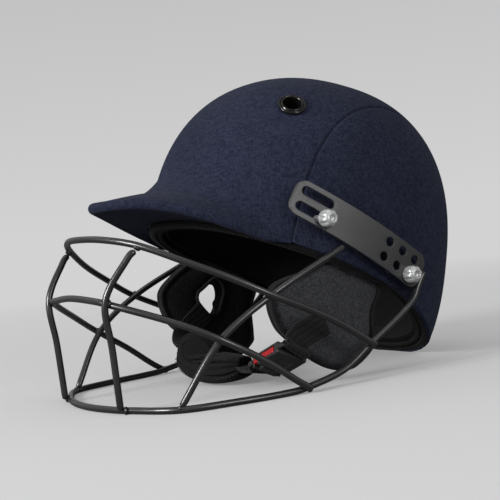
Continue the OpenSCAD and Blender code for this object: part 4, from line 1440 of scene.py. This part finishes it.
def make_strap_right():
    inner = FLAP_THICKNESS - FLAP_OFFSET + STRAP_DEPTH
    path = spline([
        (inner + FLAP_LEAN * 40, -42, -40), (inner + FLAP_LEAN * 53, -49, -53),
        (inner + FLAP_LEAN * 65 + 1, -56, -65), (-61, -61, -73),
        np.array(CUP_PATH[-1]) + [-2.6, 0, 3]], 6)
    make_webbing("strap_right_webbing", "strap_right", path, FLAP_WAY, LEVEL_BACK)


def make_cup_strap():
    """Webbing between the buckle and the cup, taken off the helmet's body and left on none."""
    near = np.array(CUP_PATH[0], float)
    lead = spline([in_buckle(FRONT_BAR, 0, -LOOP_MIDDLE), (43, -54.5, -89), near + [1.5, 0, 0]], 8)
    path = np.concatenate([loop_path(FRONT_BAR, 255, -90)[:-1], lead])
    obj = make_webbing("cup_strap", "cup_webbing", path, (0, 1, 0), LEVEL_BACK)
    obj.parent = None
    obj.matrix_world = Matrix.Identity(4)
    del obj["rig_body"]
    tuple(to_part(near))
    tuple(to_part(in_buckle(FRONT_BAR + 3)))
    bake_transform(obj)


def cup_frame():
    """Middle line of the chin cup, with its directions and its fullness at each step."""
    path = spline(CUP_PATH, 8)
    t = tangents(path)
    up = unit(np.cross(t, -np.array(LEVEL_BACK)))
    share = np.linspace(0, 1, len(path))
    fullness = np.sin(pi * (0.07 + 0.86 * share)) ** 0.35
    return path, t, up, np.cross(up, t), share, fullness


def make_chin_cup():
    path, t, up, across, share, fullness = cup_frame()
    a, b = squarish(np.linspace(0, 2 * pi, 121), 0.62)
    front = np.clip(a * 2, 0, 1)
    net = []
    for i, along in enumerate(share):
        wander = 0.12 * sin(along * 7)
        groove = sum(np.exp(-((b - level - wander * (k - 1)) / 0.085) ** 2)
                     for k, level in enumerate(CUP_FOLDS))
        bulge = 1 + 0.16 * front - 0.42 * groove * front * sin(pi * along) ** 0.3
        net.append(path[i] + np.outer(a * bulge * CUP_HALF_WIDTH * fullness[i], across[i])
                   + np.outer(b * CUP_HALF_HEIGHT * fullness[i], up[i]))
    obj = sheet_from("cup_padding", capped(closed_net(net), path), closed=True)
    modifier(obj, "SUBSURF", levels=1, render_levels=1)
    smooth(obj)
    dress(obj, cup_cloth(), "black_padding", "helmet", "chin_cup")

    make_cup_lobe(path, t, up, across)
    rows = []
    for level in (-0.62, 0.86):
        line = path + (across * 16.2 + up * CUP_HALF_HEIGHT * level) * fullness[:, None]
        rows.append(stitches("row", line[3:-3], across[3:-3], 3.0, 0.3, 0.3))
    dress(joined("cup_stitching", rows), thread_finish(), "black_padding")


def make_cup_lobe(path, t, up, across):
    """Puffed patch with piping on the front of the cup."""
    clear_selection()
    bpy.ops.mesh.primitive_uv_sphere_add(segments=40, ring_count=24, radius=1)
    lobe = bpy.context.object
    lobe.name = "cup_lobe"
    k = int((len(path) - 1) * 0.68)
    out = unit(across[k] * 0.55 + np.array([0.848, -0.503, -0.168]) * 0.6)
    wide = unit(t[k] - out * np.dot(t[k], out))
    high = np.cross(wide, out) * np.sign(np.dot(np.cross(wide, out), up[k]))
    centre = path[k] + across[k] * 8 + up[k] * 11.5 + [3, 3, 0.5]
    for v in lobe.data.vertices:
        flat = sqrt(v.co.x ** 2 + v.co.y ** 2)
        rise = (1 - flat ** 3) ** 0.5 if flat < 1 else 0.0
        v.co.z = rise if v.co.z > 0 else -rise
    half_wide, half_high, half_deep = LOBE_SIZE
    placed(lobe, part_matrix([wide * half_wide, high * half_high, out * half_deep], centre))
    edit_all(lobe, outward)
    smooth(lobe)
    dress(lobe, cup_cloth(), "black_padding")
    turn = np.linspace(0, 2 * pi, 49)[:-1, None]
    ring = wide * half_wide * np.cos(turn) + high * half_high * np.sin(turn)
    cords = [tube("cord", centre + out * lift + ring * size, radius, closed=True)
             for size, lift, radius in ((1.0, 0.0, 1.4), (0.74, 4.4, 0.8))]
    dress(joined("cup_piping", cords), cup_cloth(), "black_padding")


# Buckle

HALF_BUCKLE = BUCKLE_WIDTH / 2
HALF_THICK = BUCKLE_THICKNESS / 2
DISH = 0.45


def webbing_bar(place, block_face):
    """Round bar for the webbing between two rails that stand on a block."""
    low, high = sorted((place + 0.4 * np.sign(place), block_face))
    parts = []
    for hand in (1, -1):
        y = hand * (HALF_BUCKLE - 1.3)
        parts.append(block("rail", (low, y - 1.1, -1.9), (high, y + 1.1, 1.9), 0.5))
    end = HALF_BUCKLE - 0.5
    parts.append(rod("bar", (place, -end, 0), (place, end, 0), BAR_RADIUS, 24, 0.2))
    return parts


def make_buckle_piece(name, node, body, parts, mat, slot):
    obj = joined(name, parts)
    placed(obj, buckle_matrix())
    smooth(obj, 40)
    dress(obj, mat, slot, body, node)


def make_socket():
    body = block("socket_body", (0, -HALF_BUCKLE, -HALF_THICK),
                 (SOCKET_LENGTH, HALF_BUCKLE, HALF_THICK), 1.1, 4)
    mouth = HALF_THICK - BUCKLE_WALL
    gap = block("gap", (4, -HALF_BUCKLE - 2, -mouth), (SOCKET_LENGTH + 4, HALF_BUCKLE + 2, mouth),
                0.3, 2)
    rim = HALF_BUCKLE - 6
    dish = block("dish", (7, -rim, HALF_THICK - DISH), (SOCKET_LENGTH - 4, rim, HALF_THICK + 2),
                 0.4, 2)
    under = block("under", (7, -rim, -HALF_THICK - 2), (SOCKET_LENGTH - 4, rim, DISH - HALF_THICK),
                  0.4, 2)
    cut(body, [gap, dish, under])
    parts = [body] + webbing_bar(REAR_BAR, 0.6)
    for k in range(4):
        x = SOCKET_LENGTH - 3.6 + k * 0.9
        parts.append(block("rib", (x, -5, HALF_THICK - 0.15), (x + 0.45, 5, HALF_THICK + 0.15),
                           0.12, 2))
    make_buckle_piece("buckle_socket_body", "buckle_socket", "helmet", parts, buckle_plastic(),
                      "buckle_plastic")


def make_tongue():
    root = HALF_BUCKLE - ARM_WIDTH - 2 - 0.5
    end = TONGUE_START + TONGUE_BLOCK
    parts = [
        block("neck", (TONGUE_START, -root, -HALF_THICK), (end, root, HALF_THICK), 0.9, 4),
        block("plate", (end - 2, 1 - HALF_BUCKLE, 0.4 - HALF_THICK),
              (end, HALF_BUCKLE - 1, HALF_THICK - 0.4), 0.7, 3),
        block("prong", (5, -4, -2.2), (TONGUE_START + 1, 4, 2.2), 0.6, 3)]
    make_buckle_piece("buckle_tongue_body", "buckle_tongue", "tongue",
                      parts + webbing_bar(FRONT_BAR, end - 0.4), buckle_plastic(),
                      "buckle_plastic")


def make_release_arms():
    start = 5.2
    end = TONGUE_START + TONGUE_BLOCK - 2.2
    for hand, name in ((-1, "front"), (1, "rear")):
        low = HALF_BUCKLE - ARM_WIDTH if hand > 0 else -HALF_BUCKLE
        parts = [block("arm", (start, low, -2.2), (end, low + ARM_WIDTH, 2.2), 0.7, 3)]
        inside, outside = sorted((hand * (HALF_BUCKLE - 1), hand * HALF_BUCKLE))
        for k in range(5):
            x = 9.5 + k * 1.7
            parts.append(block("grip", (x, inside, -1.7), (x + 0.8, outside, 1.7), 0.25, 2))
        make_buckle_piece("release_arm_%s_body" % name, "release_arm_" + name, "arm_" + name,
                          parts, red_plastic(), "red_plastic")


# Face guard

def floor_at(y):
    """Level height of the floor, which is tipped in the level frame."""
    return (FLOOR_HEIGHT + y * sin(TILT)) / cos(TILT)


def on_floor(x, y):
    """Middle of a wire that lies on the floor."""
    return (x, y, floor_at(y) + WIRE / 2 / cos(TILT))


def plate_drop(along):
    """How far the bent plate falls back from its apex."""
    return PLATE_BEND - sqrt(PLATE_BEND ** 2 - (along - PLATE_APEX) ** 2)


def plate_point(along, up):
    """Point in the middle of the left plate's thickness, at a place along and across it."""
    out = PLATE_FACE + PLATE_THICKNESS / 2 - plate_drop(along)
    return PLATE_CENTRE + [out, along * cos(PLATE_SLOPE) + up * sin(PLATE_SLOPE),
                           up * cos(PLATE_SLOPE) - along * sin(PLATE_SLOPE)]


def guard_paths():
    """Middle lines of the left half of the guard's wires, chosen along the real ones."""
    y_top, y_middle, y_low = (EAR[1] - reach for reach in (TOP_REACH, MIDDLE_REACH, BOTTOM_REACH))
    z_top, z_middle = -TOP_DEPTH, -MIDDLE_DEPTH
    low = np.array([
        on_floor(0, y_low), on_floor(27, y_low + 2.6), on_floor(52, y_low + 9.5),
        on_floor(85.6, y_low + 27), on_floor(98, -92), on_floor(103, -65),
        on_floor(104.4, -47) + np.array([0, 0, 1.5]), (105, -21, -74), (105, -4.5, -50),
        (105, 13.5, -24.5), (104.7, 23, -8)])
    middle = np.array([
        (0, y_middle, z_middle + 0.5), (27, y_middle + 2.6, z_middle),
        (49, y_middle + 8.6, z_middle - 1), (83, -148, z_middle - 2),
        (100.5, -120, z_middle - 4.5), (106.5, -87, z_middle - 8.5), (108.6, -60, z_middle - 14),
        on_floor(104.6 + WIRE_STEP, -46) + np.array([0, 0, 0.6])])
    top = np.array([
        (0, y_top, z_top - 1), (30, y_top + 5.7, z_top), (58.5, y_top + 20.4, z_top),
        (82, -153, z_top - 3), (97.5, -125, z_top - 5), (107.5, -95, z_top - 7.4),
        (109.4, -48, z_top - 8), (105 + WIRE_STEP, -2.5, z_top - 13.5)])
    foot = y_low + 8.1 - WIRE_STEP
    upright = np.array([
        top[2] + [-0.5, -1, 0.6 - WIRE_STEP], top[2] * 0.72 + middle[2] * 0.28 + [0, -3.2, 0],
        middle[2] + [1.2, -WIRE_STEP, 1], middle[2] * 0.55 + low[2] * 0.45 + [-1.5, -4.8, 0],
        (48, foot, floor_at(foot) + WIRE / 2 + 0.7)])
    stay = np.array([
        plate_point(-11.4, WELD_SINK - 0.7 - (PLATE_HEIGHT + WIRE) / 2),
        top[5] + [-WIRE_STEP, 2, 2], middle[4] + [-0.93 * WIRE_STEP, 0.35 * WIRE_STEP, 0],
        low[3] + [0, 0, WIRE / 2 - WELD_SINK]])
    rear = np.array([plate_point((PLATE_LENGTH + WIRE) / 2 - WELD_SINK, up) for up in (-8, 4)])
    return top, middle, np.concatenate([low, rear]), upright, stay


def make_wire(name, points, node):
    obj = tube(name, spline(points, 10), WIRE / 2)
    dress(obj, coated(), "coated_steel", "guard", node)


def make_guard():
    top, middle, low, upright, stay = guard_paths()
    for name, half in (("top", top), ("middle", middle), ("bottom", low)):
        both = np.concatenate([mirrored(half[:0:-1]), half])
        make_wire(name + "_wire", both, name + "_bar")
    for name, line in (("upright", upright), ("stay", stay)):
        for side in (1, -1):
            label = side_name(side)
            points = line if side > 0 else mirrored(line)
            make_wire(name + "_wire_" + label, points, name + "_" + label)
    make_welds([(top[2], upright[0]), (middle[2], upright[2]), (low[2], upright[4]),
                (top[5], stay[1]), (middle[4], stay[2]), (low[3], stay[3]), (middle[7], low[6]),
                (top[7], low[8])])


def make_welds(pairs):
    """A bead of weld between each pair of wires, on both sides."""
    beads = []
    for a, b in pairs:
        for side in (1, -1):
            flip = np.array([side, 1, 1])
            clear_selection()
            bpy.ops.mesh.primitive_uv_sphere_add(segments=20, ring_count=12, radius=1)
            bead = bpy.context.object
            way = unit((b - a) * flip)
            other = unit(np.cross(way, (0.3, 0.5, 0.8)))
            third = np.cross(way, other)
            placed(bead, part_matrix([way * 1.6, other * 3.05, third * 2.9], (a + b) / 2 * flip))
            beads.append(bead)
    obj = joined("weld_beads", beads)
    smooth(obj)
    dress(obj, coated(), "coated_steel", "guard")


def arc(cx, cy, radius, start, end, steps=10):
    return [(cx + radius * cos(w), cy + radius * sin(w))
            for w in np.radians(np.linspace(start, end, steps))]


def plate_shapes():
    """Outline, slots and holes of a plate, drawn in by the rounding that the curve adds back."""
    corner = PLATE_CORNER - PLATE_ROUNDING
    x = PLATE_LENGTH / 2 - PLATE_CORNER
    y = PLATE_HEIGHT / 2 - PLATE_CORNER
    shapes = [arc(x, y, corner, 0, 90) + arc(-x, y, corner, 90, 180)
              + arc(-x, -y, corner, 180, 270) + arc(x, -y, corner, 270, 360)]
    slot = SLOT_RADIUS + PLATE_ROUNDING
    for row in (-ROW, ROW):
        shapes.append(arc(SLOT_MIDDLE + SLOT_HALF, row, slot, -90, 90, 14)
                      + arc(SLOT_MIDDLE - SLOT_HALF, row, slot, 90, 270, 14))
        for k in range(3):
            shapes.append(arc(FIRST_HOLE + HOLE_PITCH * k, row, HOLE_RADIUS + PLATE_ROUNDING,
                              0, 350, 28))
    return shapes


def make_side_plate(side):
    """Flat plate with rounded corners, slots and holes, bent along its length."""
    clear_selection()
    bpy.ops.curve.primitive_bezier_circle_add(radius=1, location=(0, 0, 0))
    curve = bpy.context.object.data
    curve.splines.clear()
    for shape in plate_shapes():
        line = curve.splines.new("POLY")
        line.points.add(len(shape) - 1)
        for point, (x, y) in zip(line.points, shape):
            point.co = (x, y, 0, 1)
        line.use_cyclic_u = True
    curve.dimensions = "2D"
    curve.fill_mode = "BOTH"
    curve.extrude = PLATE_THICKNESS / 2 - PLATE_ROUNDING
    curve.bevel_depth = PLATE_ROUNDING
    curve.bevel_resolution = 2
    bpy.ops.object.convert(target="MESH")
    obj = bpy.context.object
    edit_all(obj, merge_coarse)
    for x in np.arange(-58, 59, 4.0):
        edit_all(obj, lambda: bpy.ops.mesh.bisect(plane_co=(float(x), 0, 0), plane_no=(1, 0, 0)))
    edit_all(obj, outward)
    co = coordinates(obj.data)
    turn = np.arcsin((co[:, 0] - PLATE_APEX) / PLATE_BEND)
    drop = PLATE_BEND - PLATE_BEND * np.cos(turn)
    height = PLATE_FACE + PLATE_THICKNESS / 2 + co[:, 2] * np.cos(turn) - drop
    move_to(obj.data, np.stack([co[:, 0] + co[:, 2] * np.sin(turn), co[:, 1], height], -1))
    placed(obj, plate_matrix((0, 0), side))
    label = side_name(side)
    obj.name = "plate_" + label
    obj.data.name = obj.name
    smooth(obj, 28)
    dress(obj, coated_plate(), "coated_steel", "guard", "side_plate_" + label)


# Fluted domed cap from its seat to the bottom of its socket: shares of the radius and of the
# height, millimetres down from there, and the flutes' depth
CAP_PROFILE = [
    (0.0, 0.0, 0.0, 0.0), (0.9, 0.0, 0.0, 0.0), (0.97, 0.0, -0.2, 0.6), (1.0, 0.0, -0.7, 1.0),
    (1.0, 0.3, 0.0, 1.0), (1.0, 0.5, 0.0, 1.0), (0.98, 0.62, 0.0, 1.0), (0.92, 0.74, 0.0, 0.9),
    (0.82, 0.84, 0.0, 0.7), (0.7, 0.9, 0.0, 0.4), (0.58, 0.93, 0.0, 0.0), (0.56, 0.985, 0.0, 0.0),
    (0.53, 1.0, 0.0, 0.0), (0.42, 1.0, 0.0, 0.0), (0.38, 1.0, 0.3, 0.0), (0.36, 1.0, 1.6, 0.0),
    (0.3, 1.0, 1.9, 0.0), (0.0, 1.0, 2.0, 0.0)]


def make_caps(place, name, node, body, shank):
    """Domed nuts or bolts on their washers at one place of both plates."""
    profile = [(CAP_WIDTH / 2 * r, CAP_HEIGHT * h - down, flute) for r, h, down, flute in CAP_PROFILE]
    drop = min(plate_drop(place[0] + s * 6) for s in (-1, 1))
    seat = PLATE_FACE + PLATE_THICKNESS + SEAT_GAP - drop + WASHER_THICKNESS
    parts = []
    for side in (1, -1):
        pieces = [lathe("cap", profile, 128, 8, 0.15)]
        if shank:
            pieces.append(rod("shank", (0, 0, bolt_end() - seat), (0, 0, 0.5), 3.0, 32, 0.3))
        for piece in pieces:
            placed(piece, plate_matrix(place, side, seat))
        parts += pieces
    obj = joined(name, parts)
    smooth(obj, 60)
    dress(obj, zinc(), "zinc", body, node)


def bolt_end():
    """Distance of the bolts' inner ends from the middle plane, just short of the inserts."""
    along, up = BOLT_PLACE
    spot = PLATE_CENTRE + [0, along * cos(PLATE_SLOPE) + up * sin(PLATE_SLOPE),
                           up * cos(PLATE_SLOPE) - along * sin(PLATE_SLOPE)]
    return meet(spot, np.array([1.0, 0, 0]), 0.0, 90.0)[0] + 1.2


def finish_cad_nodes():
    """The pieces that stay as the frame has them get their finish."""
    for names, mat in ((("hard_shell", "peak_core"), shell_plastic()),
                       (("front_screws", "front_washers", "rear_washers", "rear_inserts"), zinc())):
        for name in names:
            obj = frame["nodes"][name]
            if not obj.material_slots:
                obj.data.materials.append(mat)
            for place in obj.material_slots:
                place.material = mat


# Studio

# The photograph's camera, as matched to it: place in metres, view, pitch and lens
CAMERA_PLACE = (0.7208, -0.45858, 0.1206)
CAMERA_FORWARD = (-0.848, 0.526, -0.0646)
CAMERA_RIGHT = (0.5299, 0.8417, -0.1033)
CAMERA_PITCH = radians(2.24)
CAMERA_LENS = 78.7

# Area lamps: name, place, the point that they face, size in metres and power in watts
LAMPS = (("key_lamp", (0.1, -2.3, 0.95), (0, 0, 0.12), 0.9, 42),
         ("top_lamp", (0.3, -0.1, 1.7), (0, 0, 0.1), 0.4, 0.8),
         ("side_lamp", (1.9, 0.2, 0.7), (0, 0, 0.12), 0.8, 7.5),
         ("rim_lamp", (-1.1, -0.5, 1.3), (0, 0, 0.1), 0.7, 0.8))

# Greys of the backdrop where it meets the floor and high up, and of the light that it gives
BACKDROP_LOW = 0.645
BACKDROP_HIGH = 0.50
SKY_GREY = (0.62, 0.62, 0.62, 1)
SKY_STRENGTH = 0.53


def camera_axes():
    forward = Vector(CAMERA_FORWARD).normalized()
    right = Vector(CAMERA_RIGHT)
    right = (right - forward * right.dot(forward)).normalized()
    up = right.cross(forward)
    c, s = cos(CAMERA_PITCH), sin(CAMERA_PITCH)
    return right, up * c - forward * s, forward * c + up * s


def make_camera():
    lens = bpy.data.cameras.new("photo_camera")
    lens.lens = CAMERA_LENS
    lens.sensor_width = 36
    lens.clip_start = 0.02
    lens.clip_end = 60
    cam = bpy.data.objects.new("photo_camera", lens)
    bpy.context.collection.objects.link(cam)
    right, up, forward = camera_axes()
    turn = Matrix((right, up, -forward)).transposed().to_4x4()
    cam.matrix_world = Matrix.Translation(CAMERA_PLACE) @ turn
    bpy.context.scene.camera = cam


def floor_finish():
    """Pale floor that the camera sees fade into the backdrop, and that lights the part less."""
    mat = bpy.data.materials.new("studio_floor")
    mat.use_nodes = True
    mat.node_tree.nodes.clear()
    n = Nodes(mat.node_tree)
    place = n.add("ShaderNodeTexCoord").outputs["Object"]
    far = n.add("ShaderNodeVectorMath", {0: place}, operation="LENGTH").outputs["Value"]
    seen = n.add("ShaderNodeLightPath").outputs["Is Camera Ray"]
    colour = n.mix(seen, shade(colours().floor, 0.25), colours().floor)
    matt = n.add("ShaderNodeBsdfDiffuse", {"Color": colour})
    glow = n.add("ShaderNodeEmission", {"Color": (*shade((1, 1, 1), BACKDROP_LOW), 1), "Strength": 1.0})
    share = n.math("MULTIPLY", n.ramp(far, 0.1, 1.5, 0.25, 1.0), seen)
    both = n.add("ShaderNodeMixShader", {0: share, 1: matt.outputs[0], 2: glow.outputs[0]})
    n.add("ShaderNodeOutputMaterial", {0: both.outputs[0]})
    return mat


def make_floor():
    clear_selection()
    bpy.ops.mesh.primitive_circle_add(vertices=96, radius=12, fill_type="NGON", location=(0, 0, 0))
    floor = bpy.context.object
    floor.name = "studio_floor"
    floor.data.materials.append(floor_finish())


def make_lamp(name, place, aim, size, watts):
    data = bpy.data.lights.new(name, "AREA")
    data.shape = "DISK"
    data.size = size
    data.energy = watts
    obj = bpy.data.objects.new(name, data)
    bpy.context.collection.objects.link(obj)
    obj.location = place
    way = Vector(aim) - Vector(place)
    obj.rotation_euler = way.to_track_quat("-Z", "Y").to_euler()
    obj.visible_camera = False


def make_world():
    """Even grey light, and a backdrop for the camera that darkens upwards."""
    world = bpy.data.worlds.new("studio")
    bpy.context.scene.world = world
    world.use_nodes = True
    world.node_tree.nodes.clear()
    n = Nodes(world.node_tree)
    direction = n.add("ShaderNodeTexCoord").outputs["Generated"]
    height = n.add("ShaderNodeSeparateXYZ", {0: direction}).outputs["Z"]
    tone = n.ramp(height, 0.0, 0.3, BACKDROP_LOW, BACKDROP_HIGH)
    grey = n.add("ShaderNodeCombineColor", {0: tone, 1: tone, 2: tone}).outputs[0]
    backdrop = n.add("ShaderNodeBackground", {"Color": grey, "Strength": 1.0})
    light = n.add("ShaderNodeBackground", {"Color": SKY_GREY, "Strength": SKY_STRENGTH})
    seen = n.add("ShaderNodeLightPath").outputs["Is Camera Ray"]
    both = n.add("ShaderNodeMixShader", {0: seen, 1: light.outputs[0], 2: backdrop.outputs[0]})
    n.add("ShaderNodeOutputWorld", {0: both.outputs[0]})
    bpy.context.scene.view_settings.view_transform = "Standard"


def make_stage():
    make_camera()
    make_floor()
    for lamp in LAMPS:
        make_lamp(*lamp)
    make_world()


# Operators, panel and registration

class HELMET_OT_stage(bpy.types.Operator):
    """Add the floor, the lamps, the world and the camera"""
    bl_idname = "helmet.stage"
    bl_label = "Studio"

    def execute(self, context):
        make_stage()
        return {"FINISHED"}


class HELMET_OT_cover(bpy.types.Operator):
    """Add the cloth over the dome, the peak and the sides"""
    bl_idname = "helmet.cover"
    bl_label = "Cloth cover"

    def execute(self, context):
        make_dome_cloth()
        make_side_cloth(1)
        make_side_cloth(-1)
        return {"FINISHED"}


class HELMET_OT_trim(bpy.types.Operator):
    """Add the felt binding under the rim and the eyelets of the vents"""
    bl_idname = "helmet.trim"
    bl_label = "Trim and eyelets"

    def execute(self, context):
        make_rim_binding()
        make_vent_eyelets()
        return {"FINISHED"}


class HELMET_OT_lining(bpy.types.Operator):
    """Add the foam liner and the comfort pads"""
    bl_idname = "helmet.lining"
    bl_label = "Liner and pads"

    def execute(self, context):
        make_liner()
        make_comfort_pads()
        return {"FINISHED"}


class HELMET_OT_flaps(bpy.types.Operator):
    """Add the padded ear flaps with their piping"""
    bl_idname = "helmet.flaps"
    bl_label = "Ear flaps"

    def execute(self, context):
        make_ear_flap(1)
        make_ear_flap(-1)
        return {"FINISHED"}


class HELMET_OT_strap(bpy.types.Operator):
    """Add the chin strap's webbing and the padded cup"""
    bl_idname = "helmet.strap"
    bl_label = "Chin strap"

    def execute(self, context):
        make_strap_left()
        make_strap_right()
        make_cup_strap()
        make_chin_cup()
        return {"FINISHED"}


class HELMET_OT_buckle(bpy.types.Operator):
    """Add the side-release buckle"""
    bl_idname = "helmet.buckle"
    bl_label = "Buckle"

    def execute(self, context):
        make_socket()
        make_tongue()
        make_release_arms()
        return {"FINISHED"}


class HELMET_OT_guard(bpy.types.Operator):
    """Add the wires of the face guard and the side plates"""
    bl_idname = "helmet.guard"
    bl_label = "Face guard"

    def execute(self, context):
        make_guard()
        make_side_plate(1)
        make_side_plate(-1)
        return {"FINISHED"}


class HELMET_OT_fittings(bpy.types.Operator):
    """Add the domed nuts and bolts, and finish the pieces kept from the frame"""
    bl_idname = "helmet.fittings"
    bl_label = "Fasteners"

    def execute(self, context):
        make_caps(SCREW_PLACE, "front_cap_nuts", "front_nuts", "helmet", False)
        make_caps(BOLT_PLACE, "rear_cap_bolts", "rear_bolts", "guard", True)
        finish_cad_nodes()
        return {"FINISHED"}


STEPS = ("stage", "cover", "trim", "lining", "flaps", "strap", "buckle", "guard", "fittings")


class HELMET_PT_panel(bpy.types.Panel):
    """Lists the helmet's pieces, sizes and colours"""
    bl_label = "Helmet"
    bl_idname = "HELMET_PT_panel"
    bl_space_type = "VIEW_3D"
    bl_region_type = "UI"
    bl_category = "Helmet"

    def draw(self, context):
        for step in STEPS:
            self.layout.operator("helmet." + step)
        for group in (sizes(), colours()):
            for key in group.bl_rna.properties.keys():
                if key not in ("rna_type", "name"):
                    self.layout.prop(group, key)


CLASSES = (HelmetSizes, HelmetColours, HELMET_OT_stage, HELMET_OT_cover, HELMET_OT_trim,
           HELMET_OT_lining, HELMET_OT_flaps, HELMET_OT_strap, HELMET_OT_buckle,
           HELMET_OT_guard, HELMET_OT_fittings, HELMET_PT_panel)


def register():
    for item in CLASSES:
        bpy.utils.register_class(item)
    bpy.types.Scene.helmet_sizes = PointerProperty(type=HelmetSizes)
    bpy.types.Scene.helmet_colours = PointerProperty(type=HelmetColours)


def unregister():
    del bpy.types.Scene.helmet_colours
    del bpy.types.Scene.helmet_sizes
    for item in reversed(CLASSES):
        bpy.utils.unregister_class(item)


def main():
    register()
    for step in STEPS:
        getattr(bpy.ops.helmet, step)()
    clear_selection()


if __name__ == "__main__":
    main()
